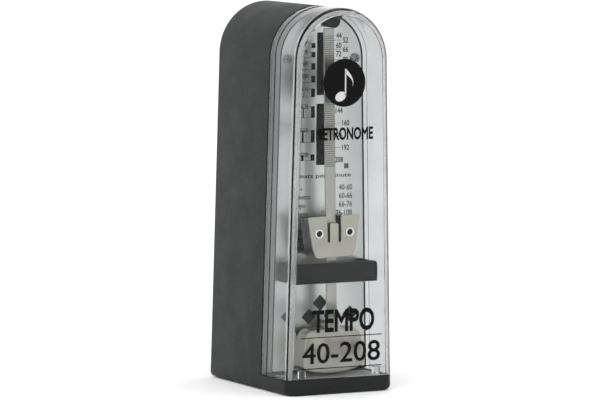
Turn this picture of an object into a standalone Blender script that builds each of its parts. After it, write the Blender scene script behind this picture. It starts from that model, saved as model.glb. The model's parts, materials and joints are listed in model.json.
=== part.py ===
"""Compact wind-up pendulum metronome, as an assembly of separate pieces.

Axes: +X to the right of someone facing the scale, +Y to the back, +Z up.
The origin is the middle of the rubber pad underneath, level with the feet.
Sizes in this file are in millimetres; MM turns them into metres.
"""

import math

import bmesh
import bpy
from mathutils import Matrix, Vector

MM = 0.001
GAP = 0.3                      # clearance between pieces that touch

# Outside of the instrument
HEIGHT = 160.0
BASE_WIDTH = 50.4              # measured at the level of the table
LEAN = math.radians(1.34)      # inward lean of both sides
FRONT = -35.0                  # front face of the clear cover
BACK = 35.0
PARTING = -11.0                # plane where the cover meets the case
FEET = 0.4                     # the feet stand this proud of the plinth
CORNER = 3.6                   # rounded vertical front corners
BOTTOM_CORNER = 2.0
ARC_STEPS = 28                 # facets round the arched top

# Walls
CASE_WALL = 2.0
COVER_WALL = 1.6
COVER_FRONT_WALL = 2.0
PLINTH_TOP = 6.5

# Base
LID_MARGIN = 2.0               # the lid's recess lies this far in from the sides
LID_TOP = 2.2
LID_BOTTOM = FEET + 0.5
SCREW_POSTS = ((13.0, -28.2), (20.0, 29.6))     # |x| and y of the lid's screws
FOOT_PLACES = ((19.4, -29.2), (19.4, 21.0))     # |x| and y of the feet
POST_RADIUS = 3.2
POST_TOPS = (5.6, 12.0)        # of the front and the rear posts

# Front panel
FRAME_INSET = 3.1              # outline of the inner frame, in from the case's
FRAME_WEB = 4.9                # inset of the frame's inner wall
FRAME_FLOOR = -15.6            # front of the floor that the scale plate lies on
FRAME_WALL = 1.6
PLATE_FRONT = -16.5
PLATE_THICK = 0.6
PLATE_INSET = 3.75
PLATE_SCREW = (15.3, 138.1)    # |x| and z of the two upper screws
SCREW_HOLE = 1.2
ARBOR_HOLE = 2.2
SOUND_HOLES = ((0.0, 36.0), (-5.2, 30.4), (5.2, 30.4), (-14.0, 30.8), (14.0, 30.8))
SOUND_HOLE_HALF = 3.5          # half a diamond's diagonal

# Bridge in front of the pivot
BRIDGE_FRONT = -31.1
BRIDGE_HALF = 19.25
BRIDGE_LOW = 45.9
BRIDGE_HIGH = 54.2
BRIDGE_LEG = 3.0
BRIDGE_BAR = 2.6
BRIDGE_BEVEL = 0.6
BRIDGE_SCREW_X = 17.0

# Pendulum
PIVOT_HEIGHT = 50.0
ROD_PLANE = -25.4              # middle of the rod's thickness
REST_TILT = math.radians(-1.2)  # the pendulum stands a little left of vertical
ROD_WIDTH = 4.8
ROD_THICK = 0.8
ROD_TOP = 101.2                # above the pivot
BOB_RADIUS = 42.4              # arc of the bob's lower edge, about the pivot
BOB_TOP = -23.6
BOB_DEPTH = (-27.0, -19.4)     # front and back of the bob, in y
BOB_HALF = (14.6, 13.2)        # half the bob's width, at its bottom and its top
BOB_ROUND = 4.6                # radius of the bob's two upper corners
NECK_RISE = 3.4
ARBOR_RADIUS = 0.9

# Sliding weight, about the middle of its plate's top edge
WEIGHT_TOP = 23.6              # above the pivot, with the weight at its lowest
WEIGHT_DROP = 17.2
WEIGHT_FRONT = -28.6
WEIGHT_BACK = -19.6
WEIGHT_SHEET = 1.0             # thickness of its front plate
CLIP_SHEET = 0.9
EYELET_PLACE = (7.2, -7.1)

# Movement
TRAIN_Y = 11.0                 # all wheel arbors lie in this plane
BARREL_Z = 86.0
INTERMEDIATE_Z = 65.0
GREAT_TEETH = 48
GREAT_MODULE = 0.75
SECOND_TEETH = 40
SECOND_MODULE = 0.625
PINION_LEAVES = 8
ESCAPE_TEETH = 15
ESCAPE_RADIUS = 8.5
RATCHET_TEETH = 24
RATCHET_RADIUS = 6.0
PLATE_LEFT_X = -14.0
PLATE_RIGHT_X = 13.0
MOVEMENT_PLATE = 1.5
CLICK_PIVOT = (20.0, 80.0)     # y and z of the click's pin
CLICK_BEARING = math.radians(20.0)  # where the click's nose meets the ratchet
KEY_HOLE = 3.6
KEY_WING = (1.7, 9.0)          # half the wing's thickness, and half its length, which stands upright
KEY_REACH = 9.4                # how far the key stands out


# ---------------------------------------------------------------- helpers

def make_material(name, colour, roughness, metallic=0.0, transmission=0.0):
    """Return a Principled material with one colour."""
    material = bpy.data.materials.new(name)
    material.use_nodes = True
    shader = material.node_tree.nodes["Principled BSDF"]
    shader.inputs["Base Color"].default_value = (*colour, 1.0)
    shader.inputs["Roughness"].default_value = roughness
    shader.inputs["Metallic"].default_value = metallic
    shader.inputs["Transmission Weight"].default_value = transmission
    material.diffuse_color = (*colour, 1.0)
    return material


def add_empty(name, location, parent=None, tilt=0.0):
    """Place an empty on a joint's axis, in millimetres, turned about Y by tilt."""
    empty = bpy.data.objects.new(name, None)
    bpy.context.collection.objects.link(empty)
    empty.location = Vector(location) * MM
    empty.rotation_euler = (0.0, tilt, 0.0)
    empty.empty_display_size = 5 * MM
    empty.parent = parent
    return empty


def add_piece(name, bm, material, parent=None):
    """Turn a bmesh in millimetres into a named object with shaded round faces."""
    bmesh.ops.remove_doubles(bm, verts=bm.verts, dist=1e-3)
    bmesh.ops.recalc_face_normals(bm, faces=bm.faces)
    bmesh.ops.scale(bm, vec=(MM, MM, MM), verts=bm.verts)
    mesh = bpy.data.meshes.new(name)
    bm.to_mesh(mesh)
    bm.free()
    mesh.materials.append(material)
    mesh.shade_smooth()
    mesh.set_sharp_from_angle(angle=math.radians(35))
    piece = bpy.data.objects.new(name, mesh)
    bpy.context.collection.objects.link(piece)
    piece.parent = parent
    return piece


def skin(sections, closed=False):
    """Return a bmesh skinned over sections with equal numbers of points.

    Closed joins the last section to the first; otherwise both ends are capped.
    """
    bm = bmesh.new()
    rows = [[bm.verts.new(point) for point in section] for section in sections]
    pairs = list(zip(rows, rows[1:]))
    if closed:
        pairs.append((rows[-1], rows[0]))
    else:
        bm.faces.new(rows[0])
        bm.faces.new(rows[-1])
    for here, there in pairs:
        for k in range(len(here)):
            n = (k + 1) % len(here)
            bm.faces.new((here[k], here[n], there[n], there[k]))
    return bm


def on_axis(axis, along, u, v):
    """Return the point at (u, v) in the plane across an axis.

    (u, v) is (y, z) across X, (x, z) across Y and (x, y) across Z.
    """
    if axis == "X":
        return Vector((along, u, v))
    if axis == "Y":
        return Vector((u, along, v))
    return Vector((u, v, along))


def prism(outline, axis, low, high):
    """Extrude a flat outline along an axis from low to high."""
    bm = bmesh.new()
    face = bm.faces.new([bm.verts.new(on_axis(axis, low, u, v)) for u, v in outline])
    moved = bmesh.ops.extrude_face_region(bm, geom=[face])["geom"]
    shift = on_axis(axis, high - low, 0.0, 0.0)
    verts = [item for item in moved if isinstance(item, bmesh.types.BMVert)]
    bmesh.ops.translate(bm, vec=shift, verts=verts)
    return bm


def turned(profile, axis, centre=(0.0, 0.0), steps=20, ring=False):
    """Spin a profile of (radius, along) points round an axis.

    A ring's profile is a closed loop clear of the axis; any other profile
    starts and ends on the axis.
    """
    bm = bmesh.new()
    verts = [
        bm.verts.new(on_axis(axis, along, centre[0] + radius, centre[1]))
        for radius, along in profile
    ]
    edges = [bm.edges.new(pair) for pair in zip(verts, verts[1:])]
    if ring:
        edges.append(bm.edges.new((verts[-1], verts[0])))
    bmesh.ops.spin(
        bm,
        geom=verts + edges,
        cent=on_axis(axis, 0.0, *centre),
        axis=on_axis(axis, 1.0, 0.0, 0.0),
        angle=math.tau,
        steps=steps,
        use_merge=True,
    )
    return bm


def rod_shape(radius, low, high, axis, centre=(0.0, 0.0), steps=20):
    """Return a plain cylinder along an axis."""
    return turned([(0.0, low), (radius, low), (radius, high), (0.0, high)], axis, centre, steps)


def tube_shape(bore, radius, low, high, axis, centre=(0.0, 0.0), steps=20):
    """Return a cylinder with a bore through it."""
    profile = [(bore, low), (radius, low), (radius, high), (bore, high)]
    return turned(profile, axis, centre, steps, ring=True)


def box_outline(u0, v0, u1, v1):
    """Return a rectangle's corners."""
    return [(u0, v0), (u1, v0), (u1, v1), (u0, v1)]


def rounded_box(u0, v0, u1, v1, radius, steps=4):
    """Return a rectangle with rounded corners."""
    corners = (
        (u1 - radius, v1 - radius, 0.0),
        (u0 + radius, v1 - radius, 90.0),
        (u0 + radius, v0 + radius, 180.0),
        (u1 - radius, v0 + radius, 270.0),
    )
    points = []
    for u, v, start in corners:
        for k in range(steps + 1):
            angle = math.radians(start + 90.0 * k / steps)
            points.append((u + radius * math.cos(angle), v + radius * math.sin(angle)))
    return points


def box_shape(low, high):
    """Return a block between two corners."""
    return prism(box_outline(low[0], low[1], high[0], high[1]), "Z", low[2], high[2])


def combine(piece, bm, name, operation):
    """Cut from, or fuse to, a piece the solid in bm, kept as a hidden guide."""
    guide = add_piece(f"{piece.name}_{name}", bm, piece.data.materials[0], piece.parent)
    guide.hide_render = True
    guide.display_type = "WIRE"
    modifier = piece.modifiers.new(name, "BOOLEAN")
    modifier.object = guide
    modifier.operation = operation
    modifier.solver = "EXACT"


def cut(piece, bm, name):
    """Cut the solid in bm from a piece."""
    combine(piece, bm, name, "DIFFERENCE")


def fuse(piece, bm, name):
    """Fuse the solid in bm to a piece."""
    combine(piece, bm, name, "UNION")


# ---------------------------------------------------------------- outlines

def half_width(z):
    """Return half the width of the outside at a height."""
    return BASE_WIDTH / 2 - z * math.tan(LEAN)


def top_radius():
    """Return the radius of the arch that touches both leaning sides and the top."""
    slope = math.cos(LEAN)
    return slope * half_width(HEIGHT) / (1.0 - math.sin(LEAN))


def corner_arc(u, v, radius, start, steps=4):
    """Return a quarter circle about (u, v) from a start angle in degrees."""
    if radius <= 0.0:
        return [(u, v)]
    angles = [math.radians(start + 90.0 * k / steps) for k in range(steps + 1)]
    return [(u + radius * math.cos(a), v + radius * math.sin(a)) for a in angles]


def arch_outline(inset, floor, corner=0.0):
    """Return the arched outline, in x and z, moved inwards by inset.

    The floor is the level of the bottom edge; corner rounds its two ends.
    """
    radius = top_radius() - inset
    side = half_width(floor) - inset / math.cos(LEAN)
    right = corner_arc(side - corner, floor + corner, corner, -90.0)
    left = corner_arc(corner - side, floor + corner, corner, 180.0)
    sweep = math.pi + 2 * LEAN
    angles = [sweep * k / ARC_STEPS - LEAN for k in range(ARC_STEPS + 1)]
    centre = HEIGHT - top_radius()
    arch = [(radius * math.cos(a), centre + radius * math.sin(a)) for a in angles]
    return right + arch + left


def plinth_outline(inset, top):
    """Return the section of the plinth across its depth, in x and z."""
    corner = BOTTOM_CORNER
    low = half_width(FEET) - inset
    high = half_width(top) - inset
    right = corner_arc(low - corner, FEET + corner, corner, -90.0)
    left = corner_arc(corner - low, FEET + corner, corner, 180.0)
    return right + [(high, top), (-high, top)] + left


def sections_of(outline, rings):
    """Place outline(inset) at each (y, inset) of a list of rings."""
    return [[(x, y, z) for x, z in outline(inset)] for y, inset in rings]


def rounded_front(front, radius, start_inset=0.0, steps=6):
    """Return rings that round a front edge, from the front face backwards."""
    rings = []
    for k in range(steps + 1):
        angle = math.pi / 2 * k / steps
        y = front + radius * (1.0 - math.cos(angle))
        rings.append((y, start_inset + radius * (1.0 - math.sin(angle))))
    return rings


def gear_outline(teeth, module, centre, phase):
    """Return a gear with straight-sided teeth; phase is one tooth's bearing."""
    pitch = teeth * module / 2
    half_root = math.tau / teeth * 0.31
    half_tip = math.tau / teeth * 0.11
    root = pitch - 0.9 * module
    tip = pitch + 0.55 * module
    corners = ((root, -half_root), (tip, -half_tip), (tip, half_tip), (root, half_root))
    points = []
    for k in range(teeth):
        middle = phase + math.tau * k / teeth
        for radius, offset in corners:
            angle = middle + offset
            points.append((centre[0] + radius * math.cos(angle), centre[1] + radius * math.sin(angle)))
    return points


def ratchet_outline():
    """Return the ratchet's saw teeth, with one notch at the click's bearing."""
    points = []
    step = math.tau / RATCHET_TEETH
    for k in range(RATCHET_TEETH):
        notch = CLICK_BEARING + step * k
        for radius, angle in ((RATCHET_RADIUS - 0.9, notch), (RATCHET_RADIUS, notch + 0.12 * step)):
            points.append((radius * math.cos(angle), radius * math.sin(angle)))
    return points


# ---------------------------------------------------------------- materials

def make_materials():
    """Return the materials by name."""
    return {
        "case": make_material("case_plastic", (0.055, 0.058, 0.058), 0.6),
        "clear": make_material("clear_plastic", (0.9, 0.92, 0.92), 0.08, transmission=0.9),
        "black": make_material("black_plastic", (0.035, 0.036, 0.036), 0.45),
        "frame": make_material("silver_plastic", (0.45, 0.46, 0.46), 0.4),
        "silver": make_material("silver_plate", (0.62, 0.63, 0.63), 0.4, 0.8),
        "nickel": make_material("nickel", (0.42, 0.4, 0.36), 0.3, 1.0),
        "steel": make_material("steel", (0.5, 0.5, 0.5), 0.3, 1.0),
        "brass": make_material("brass", (0.66, 0.5, 0.22), 0.32, 1.0),
        "rubber": make_material("rubber", (0.03, 0.03, 0.03), 0.85),
    }


# ---------------------------------------------------------------- case

def build_case(paint):
    """Build the moulded case with its plinth, open at the front and below."""
    def outer(inset):
        thicker_floor = 1.0 if inset >= CASE_WALL else 0.0
        return arch_outline(inset, FEET + inset + thicker_floor, BOTTOM_CORNER)

    rings = [(BACK, 1.5), (BACK - 0.5, 0.6), (BACK - 1.5, 0.0), (PARTING, 0.0)]
    rings += [(PARTING, CASE_WALL), (BACK - CASE_WALL, CASE_WALL)]
    case = add_piece("case_shell", skin(sections_of(outer, rings)), paint["case"])

    rings = rounded_front(FRONT, CORNER)
    rings += [(PARTING, 0.0), (PARTING + 1.0, 0.5)]
    plinth = skin(sections_of(lambda inset: plinth_outline(inset, PLINTH_TOP), rings))
    fuse(case, plinth, "plinth")

    ledge = half_width(FEET) - LID_MARGIN
    recess = box_shape((-ledge, FRONT + LID_MARGIN, -1.0), (ledge, BACK - LID_MARGIN, LID_TOP))
    cut(case, recess, "lid_recess")
    hollow = ledge - 1.4
    cut(case, box_shape((-hollow, FRONT + 3.4, 1.0), (hollow, PARTING - 2.0, 4.9)), "plinth_hollow")
    cut(case, box_shape((-hollow, PARTING + 2.0, 1.0), (hollow, BACK - 3.4, 6.0)), "case_hollow")
    for row, (x, y), top in zip(("front", "rear"), SCREW_POSTS, POST_TOPS):
        for side, sign in (("left", -1), ("right", 1)):
            post = rod_shape(POST_RADIUS, LID_TOP + GAP, top, "Z", (sign * x, y), 12)
            fuse(case, post, f"post_{row}_{side}")
            bore = rod_shape(1.4, LID_TOP - 1.0, 5.3, "Z", (sign * x, y), 10)
            cut(case, bore, f"bore_{row}_{side}")
    hole = rod_shape(KEY_HOLE, 18.0, 30.0, "X", (TRAIN_Y, BARREL_Z), 20)
    cut(case, hole, "key_hole")


def build_base(paint):
    """Build the lid underneath with its screws, feet and rubber pad."""
    margin = LID_MARGIN + GAP
    ledge = half_width(FEET) - margin
    bottom = LID_BOTTOM
    outline = rounded_box(-ledge, FRONT + margin, ledge, BACK - margin, 1.0)
    lid = add_piece("base_lid", prism(outline, "Z", bottom, LID_TOP - GAP), paint["black"])
    for row, (x, y), foot_at in zip(("front", "rear"), SCREW_POSTS, FOOT_PLACES):
        for side, sign in (("left", -1), ("right", 1)):
            place = (sign * x, y)
            sink = [(0.0, -1.0), (2.6, -1.0), (2.6, bottom + 0.5)]
            bore = [(1.4, bottom + 0.5), (1.4, 3.0), (0.0, 3.0)]
            cut(lid, turned(sink + bore, "Z", place, 12), f"hole_{row}_{side}")
            head = [(0.0, bottom), (2.2, bottom), (2.2, bottom + 0.2)]
            shank = [(1.1, bottom + 0.2), (1.1, 5.0), (0.0, 5.0)]
            add_piece(f"base_screw_{row}_{side}", turned(head + shank, "Z", place, 12), paint["steel"])
            foot = [(0.0, bottom - GAP), (2.8, bottom - GAP), (2.8, 0.15), (2.6, 0.0), (0.0, 0.0)]
            foot_place = (sign * foot_at[0], foot_at[1])
            add_piece(f"foot_{row}_{side}", turned(foot, "Z", foot_place, 16), paint["rubber"])
    pad = rounded_box(-12.0, -16.0, 12.0, 16.0, 2.0)
    add_piece("base_pad", prism(pad, "Z", 0.0, bottom - GAP), paint["rubber"])


def build_front_panel(paint):
    """Build the inner frame, the scale plate, its screws and the rod's catch."""
    def outline(inset):
        return arch_outline(inset, PLINTH_TOP + inset - CASE_WALL, 0.6)

    inner = PLATE_INSET - GAP
    rings = [(FRAME_FLOOR, inner), (PLATE_FRONT - 0.1, inner), (PLATE_FRONT - 0.1, FRAME_INSET)]
    rings += [(PARTING + GAP, FRAME_INSET), (PARTING + GAP, CASE_WALL + GAP)]
    rings += [(PARTING + 2.0, CASE_WALL + GAP), (PARTING + 2.0, FRAME_WEB)]
    rings += [(FRAME_FLOOR + FRAME_WALL, FRAME_WEB)]
    frame = add_piece("front_frame", skin(sections_of(outline, rings)), paint["frame"])
    front, back = FRAME_FLOOR - 2.0, FRAME_FLOOR + 3.0
    pivot = (0.0, PIVOT_HEIGHT)
    cut(frame, rod_shape(ARBOR_HOLE, front, back, "Y", pivot, 16), "arbor_hole")
    window = rounded_box(-18.0, 24.0, 18.0, 42.0, 2.0)
    cut(frame, prism(window, "Y", front, back), "sound_window")

    plate = prism(outline(PLATE_INSET), "Y", PLATE_FRONT, PLATE_FRONT + PLATE_THICK)
    plate = add_piece("scale_plate", plate, paint["silver"])
    before, after = PLATE_FRONT - 1.0, FRAME_FLOOR + 0.2
    cut(plate, rod_shape(ARBOR_HOLE, before, after, "Y", pivot, 16), "arbor_hole")
    size = SOUND_HOLE_HALF
    for number, (x, z) in enumerate(SOUND_HOLES, start=1):
        diamond = [(x - size, z), (x, z - size), (x + size, z), (x, z + size)]
        cut(plate, prism(diamond, "Y", before, after), f"sound_hole_{number}")

    for side, sign in (("left", -1), ("right", 1)):
        place = (sign * PLATE_SCREW[0], PLATE_SCREW[1])
        cut(plate, rod_shape(SCREW_HOLE, before, after, "Y", place, 10), f"screw_hole_{side}")
        cut(frame, rod_shape(SCREW_HOLE, front, back, "Y", place, 10), f"screw_hole_{side}")
        head = [(0.0, PLATE_FRONT - 1.1), (1.2, PLATE_FRONT - 1.0), (1.9, PLATE_FRONT - 0.6)]
        head += [(1.9, PLATE_FRONT - GAP), (0.85, PLATE_FRONT - GAP)]
        shank = [(0.85, FRAME_FLOOR + 2.0), (0.0, FRAME_FLOOR + 2.0)]
        add_piece(f"plate_screw_{side}", turned(head + shank, "Y", place, 12), paint["steel"])
        place = (sign * BRIDGE_SCREW_X, PIVOT_HEIGHT)
        cut(plate, rod_shape(SCREW_HOLE, before, after, "Y", place, 10), f"bridge_hole_{side}")
        cut(frame, rod_shape(SCREW_HOLE, front, back, "Y", place, 10), f"bridge_hole_{side}")

    catch_low = PIVOT_HEIGHT + ROD_TOP + 0.9
    lip = rounded_box(-4.0, catch_low, 4.2, catch_low + 3.8, 1.6)
    catch = add_piece("rod_catch", prism(lip, "Y", -27.6, PLATE_FRONT - GAP), paint["black"])
    notch = box_outline(-5.0, catch_low - 1.0, 5.0, catch_low + 1.9)
    cut(catch, prism(notch, "Y", -23.6, PLATE_FRONT - 2.6), "underside")


def build_bridge(paint):
    """Build the U-shaped bridge in front of the pendulum, with its two screws."""
    front, back = BRIDGE_FRONT, PLATE_FRONT - GAP
    half, bevel = BRIDGE_HALF, BRIDGE_BEVEL
    inner, bar_back = BRIDGE_HALF - BRIDGE_LEG, BRIDGE_FRONT + BRIDGE_BAR
    outline = [(-half, back), (-half, front + bevel), (bevel - half, front)]
    outline += [(half - bevel, front), (half, front + bevel), (half, back)]
    outline += [(inner, back), (inner, bar_back), (-inner, bar_back), (-inner, back)]
    bridge = add_piece("pivot_bridge", prism(outline, "Z", BRIDGE_LOW, BRIDGE_HIGH), paint["black"])
    bearing = rod_shape(1.5, front + 1.0, bar_back + 1.0, "Y", (0.0, PIVOT_HEIGHT), 12)
    cut(bridge, bearing, "bearing")
    bore_end, screw_end = -22.0, -21.5
    seat = FRAME_FLOOR + FRAME_WALL + GAP
    for side, sign in (("left", -1), ("right", 1)):
        place = (sign * BRIDGE_SCREW_X, PIVOT_HEIGHT)
        cut(bridge, rod_shape(SCREW_HOLE, bore_end, back + 1.0, "Y", place, 10), f"bore_{side}")
        head = [(0.0, seat + 1.0), (1.7, seat + 1.0), (1.7, seat)]
        shank = [(0.85, seat), (0.85, screw_end), (0.0, screw_end)]
        add_piece(f"bridge_screw_{side}", turned(head + shank, "Y", place, 12), paint["steel"])


# ---------------------------------------------------------------- cover

def build_cover(paint, parent):
    """Build the clear cover: a deep arched cap, open behind and below."""
    def outline(inset):
        return arch_outline(inset, 2.0 + inset, 0.0)

    rings = rounded_front(FRONT, CORNER)
    rings += [(PARTING - GAP, 0.0), (PARTING - GAP, COVER_WALL)]
    inner_corner = rounded_front(FRONT + COVER_FRONT_WALL, CORNER - COVER_WALL, COVER_WALL)
    rings += reversed(inner_corner)
    rings = [(y - FRONT, inset) for y, inset in rings]
    cover = add_piece("cover", skin(sections_of(outline, rings)), paint["clear"], parent)
    below = box_shape((-30.0, -2.0, -2.0), (30.0, 30.0, PLINTH_TOP + GAP))
    cut(cover, below, "open_bottom")


# ---------------------------------------------------------------- pendulum

def bob_outline():
    """Return the bob in the pendulum's own plane, with a short neck on top."""
    low_half, high_half = BOB_HALF
    points = []
    reach = math.asin(low_half / BOB_RADIUS)
    for k in range(13):
        angle = -math.pi / 2 - reach + 2 * reach * k / 12
        points.append((BOB_RADIUS * math.cos(angle), BOB_RADIUS * math.sin(angle)))
    corner_x, corner_z = high_half - BOB_ROUND, BOB_TOP - BOB_ROUND
    points += corner_arc(corner_x, corner_z, BOB_ROUND, 0.0, 5)
    points += [(4.0, BOB_TOP), (2.6, BOB_TOP + NECK_RISE)]
    points += [(-2.6, BOB_TOP + NECK_RISE), (-4.0, BOB_TOP)]
    points += corner_arc(-corner_x, corner_z, BOB_ROUND, 90.0, 5)
    return points


def build_pendulum(paint, pivot):
    """Build the rod, the bob, the hub, the arbor and the pallets about the pivot."""
    half = ROD_THICK / 2
    bore = ARBOR_RADIUS + GAP
    strip = box_outline(-ROD_WIDTH / 2, BOB_TOP + NECK_RISE + GAP, ROD_WIDTH / 2, ROD_TOP)
    strip = prism(strip, "Y", ROD_PLANE - half, ROD_PLANE + half)
    rod = add_piece("pendulum_rod", strip, paint["nickel"], pivot)
    cut(rod, rod_shape(bore, ROD_PLANE - 2.0, ROD_PLANE + 2.0, "Y", steps=12), "arbor_hole")
    add_piece("pendulum_bob", prism(bob_outline(), "Y", *BOB_DEPTH), paint["nickel"], pivot)
    hub = tube_shape(bore, 2.9, ROD_PLANE + half + GAP, ROD_PLANE + 4.4, "Y", steps=20)
    add_piece("pendulum_hub", hub, paint["brass"], pivot)
    arbor = rod_shape(ARBOR_RADIUS, -29.8, 27.8, "Y", steps=12)
    add_piece("pendulum_arbor", arbor, paint["steel"], pivot)
    sleeve = tube_shape(bore, 1.65, TRAIN_Y - 10.0, TRAIN_Y + 10.0, "Y", steps=12)
    pallets = add_piece("pallets", sleeve, paint["steel"], pivot)
    for name, side, bearing in (("front", -1, 50.0), ("rear", 1, -50.0)):
        flag = prism(box_outline(1.35, -0.3, 3.6, 0.3), "Y", -1.2, 1.2)
        turn = Matrix.Rotation(math.radians(-bearing), 4, "Y")
        place = Matrix.Translation((0.0, TRAIN_Y + side * ESCAPE_RADIUS, 0.0)) @ turn
        bmesh.ops.transform(flag, matrix=place, verts=flag.verts)
        fuse(pallets, flag, f"flag_{name}")


def build_weight(paint, slider):
    """Build the sliding weight round the rod; its origin is the plate's top edge."""
    plate_front, plate_back = WEIGHT_FRONT, WEIGHT_FRONT + WEIGHT_SHEET
    outline = [(-12.1, -0.8), (-12.1, 0.0), (12.1, 0.0), (12.1, -0.8)]
    outline += [(10.2, -WEIGHT_DROP + 2.6), (8.4, -WEIGHT_DROP)]
    outline += [(-8.4, -WEIGHT_DROP), (-10.2, -WEIGHT_DROP + 2.6)]
    plate = prism(outline, "Y", plate_front, plate_back)
    plate = add_piece("weight_plate", plate, paint["nickel"], slider)
    for side, sign in (("left", -1), ("right", 1)):
        slot = box_outline(min(sign * 2.0, sign * 3.2), -11.0, max(sign * 2.0, sign * 3.2), 1.0)
        cut(plate, prism(slot, "Y", plate_front - 1.0, plate_back + 1.0), f"slot_{side}")
        place = (sign * EYELET_PLACE[0], EYELET_PLACE[1])
        cut(plate, rod_shape(1.5, plate_front - 1.0, plate_back + 1.0, "Y", place, 14), f"hole_{side}")
        flange = [(0.6, plate_front - 0.5), (1.9, plate_front - 0.5), (1.9, plate_front - GAP)]
        barrel = [(1.2, plate_front - 0.3), (1.2, plate_back + 0.3), (0.6, plate_back + 0.3)]
        eyelet = turned(flange + barrel, "Y", place, 16, ring=True)
        add_piece(f"weight_eyelet_{side}", eyelet, paint["nickel"], slider)
    notch = box_outline(-2.3, -3.1, 2.3, 1.0)
    cut(plate, prism(notch, "Y", plate_front - 1.0, plate_back + 1.0), "tongue_top")

    depth, sheet = (plate_back + 1.1, WEIGHT_BACK), CLIP_SHEET
    folded = [(-11.6, -0.8), (11.6, -0.8), (9.8, -WEIGHT_DROP + 2.4), (8.0, -WEIGHT_DROP + 0.3)]
    folded += [(-8.0, -WEIGHT_DROP + 0.3), (-9.8, -WEIGHT_DROP + 2.4)]
    clip = add_piece("weight_clip", prism(folded, "Y", *depth), paint["nickel"], slider)
    hollow = [(-11.8 + sheet, 1.0), (11.8 - sheet, 1.0), (9.8 - sheet, -WEIGHT_DROP + 2.4)]
    hollow += [(7.6 - sheet, -WEIGHT_DROP - 1.0), (sheet - 7.6, -WEIGHT_DROP - 1.0)]
    hollow += [(sheet - 9.8, -WEIGHT_DROP + 2.4)]
    cut(clip, prism(hollow, "Y", plate_back, depth[1] - sheet), "fold")
    spring = [(-1.9, -14.0), (1.9, -14.0), (1.9, -3.4), (-1.9, -3.4)]
    spring = prism(spring, "Y", plate_back + GAP, plate_back + GAP + 0.3)
    add_piece("weight_spring", spring, paint["steel"], slider)


# ---------------------------------------------------------------- movement

def build_movement_frame(paint):
    """Build the two movement plates, their pillars and the rear bearing."""
    holes = (
        ("barrel", BARREL_Z, 2.3),
        ("intermediate", INTERMEDIATE_Z, 1.1),
        ("escape", PIVOT_HEIGHT, 1.1),
    )
    for side, low in (("left", PLATE_LEFT_X), ("right", PLATE_RIGHT_X)):
        outline = rounded_box(-6.5, 36.0, 32.0, 108.0, 3.0)
        plate = prism(outline, "X", low, low + MOVEMENT_PLATE)
        plate = add_piece(f"movement_plate_{side}", plate, paint["brass"])
        for name, z, radius in holes:
            hole = rod_shape(radius, low - 1.0, low + 2.5, "X", (TRAIN_Y, z), 12)
            cut(plate, hole, f"{name}_bearing")
    inner_left = PLATE_LEFT_X + MOVEMENT_PLATE + GAP
    inner_right = PLATE_RIGHT_X - GAP
    for number, (y, z) in enumerate(((-3.6, 39.0), (28.8, 39.0), (-3.6, 105.0), (28.8, 105.0))):
        pillar = rod_shape(1.8, inner_left, inner_right, "X", (y, z), 12)
        add_piece(f"movement_pillar_{number + 1}", pillar, paint["brass"])
    outline = rounded_box(inner_left, 43.0, inner_right, 57.0, 1.0, 2)
    rear = prism(outline, "Y", 25.4, 26.8)
    rear = add_piece("rear_bearing_bridge", rear, paint["brass"])
    cut(rear, rod_shape(2.4, 24.0, 28.0, "Y", (0.0, PIVOT_HEIGHT), 14), "bush_hole")
    bush = tube_shape(ARBOR_RADIUS + GAP, 2.1, 25.2, 27.2, "Y", (0.0, PIVOT_HEIGHT), 14)
    add_piece("rear_bush", bush, paint["brass"])

    arm = [(1.95, 36.0), (1.95, 53.0), (3.05, 53.0), (3.05, 37.4)]
    arm += [(inner_right, 37.4), (inner_right, 36.0)]
    potence = prism(arm, "Y", TRAIN_Y - 2.4, TRAIN_Y + 2.4)
    potence = add_piece("escape_potence", potence, paint["brass"])
    cut(potence, rod_shape(0.8, 1.0, 4.0, "X", (TRAIN_Y, PIVOT_HEIGHT), 10), "bearing")


def build_barrel(paint, axis):
    """Build the mainspring barrel with the great wheel, its cap and the spring."""
    drum_left, drum_right = -8.1, 6.0
    wheel = prism(gear_outline(GREAT_TEETH, GREAT_MODULE, (0.0, 0.0), math.pi / 2), "X", -9.6, -8.0)
    barrel = add_piece("mainspring_barrel", wheel, paint["brass"], axis)
    wall = [(2.0, drum_left), (14.5, drum_left), (14.5, drum_right), (13.4, drum_right)]
    wall += [(13.4, drum_left + 1.2), (2.0, drum_left + 1.2)]
    fuse(barrel, turned(wall, "X", steps=32, ring=True), "drum")
    cut(barrel, rod_shape(3.1, -12.0, -4.0, "X", steps=16), "bore")
    cap = tube_shape(3.1, 14.5, drum_right + GAP, drum_right + 1.1, "X", steps=32)
    add_piece("barrel_cap", cap, paint["brass"], axis)

    turns, steps = 5, 16
    start, end, thick = 4.2, 12.6, 0.5
    count = turns * steps
    outer, inner = [], []
    for k in range(count + 1):
        angle = math.tau * k / steps
        radius = start + (end - start) * k / count
        outer.append(((radius + thick) * math.cos(angle), (radius + thick) * math.sin(angle)))
        inner.append((radius * math.cos(angle), radius * math.sin(angle)))
    spring = prism(outer + inner[::-1], "X", drum_left + 1.6, drum_right - 0.4)
    add_piece("mainspring", spring, paint["steel"], axis)


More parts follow.
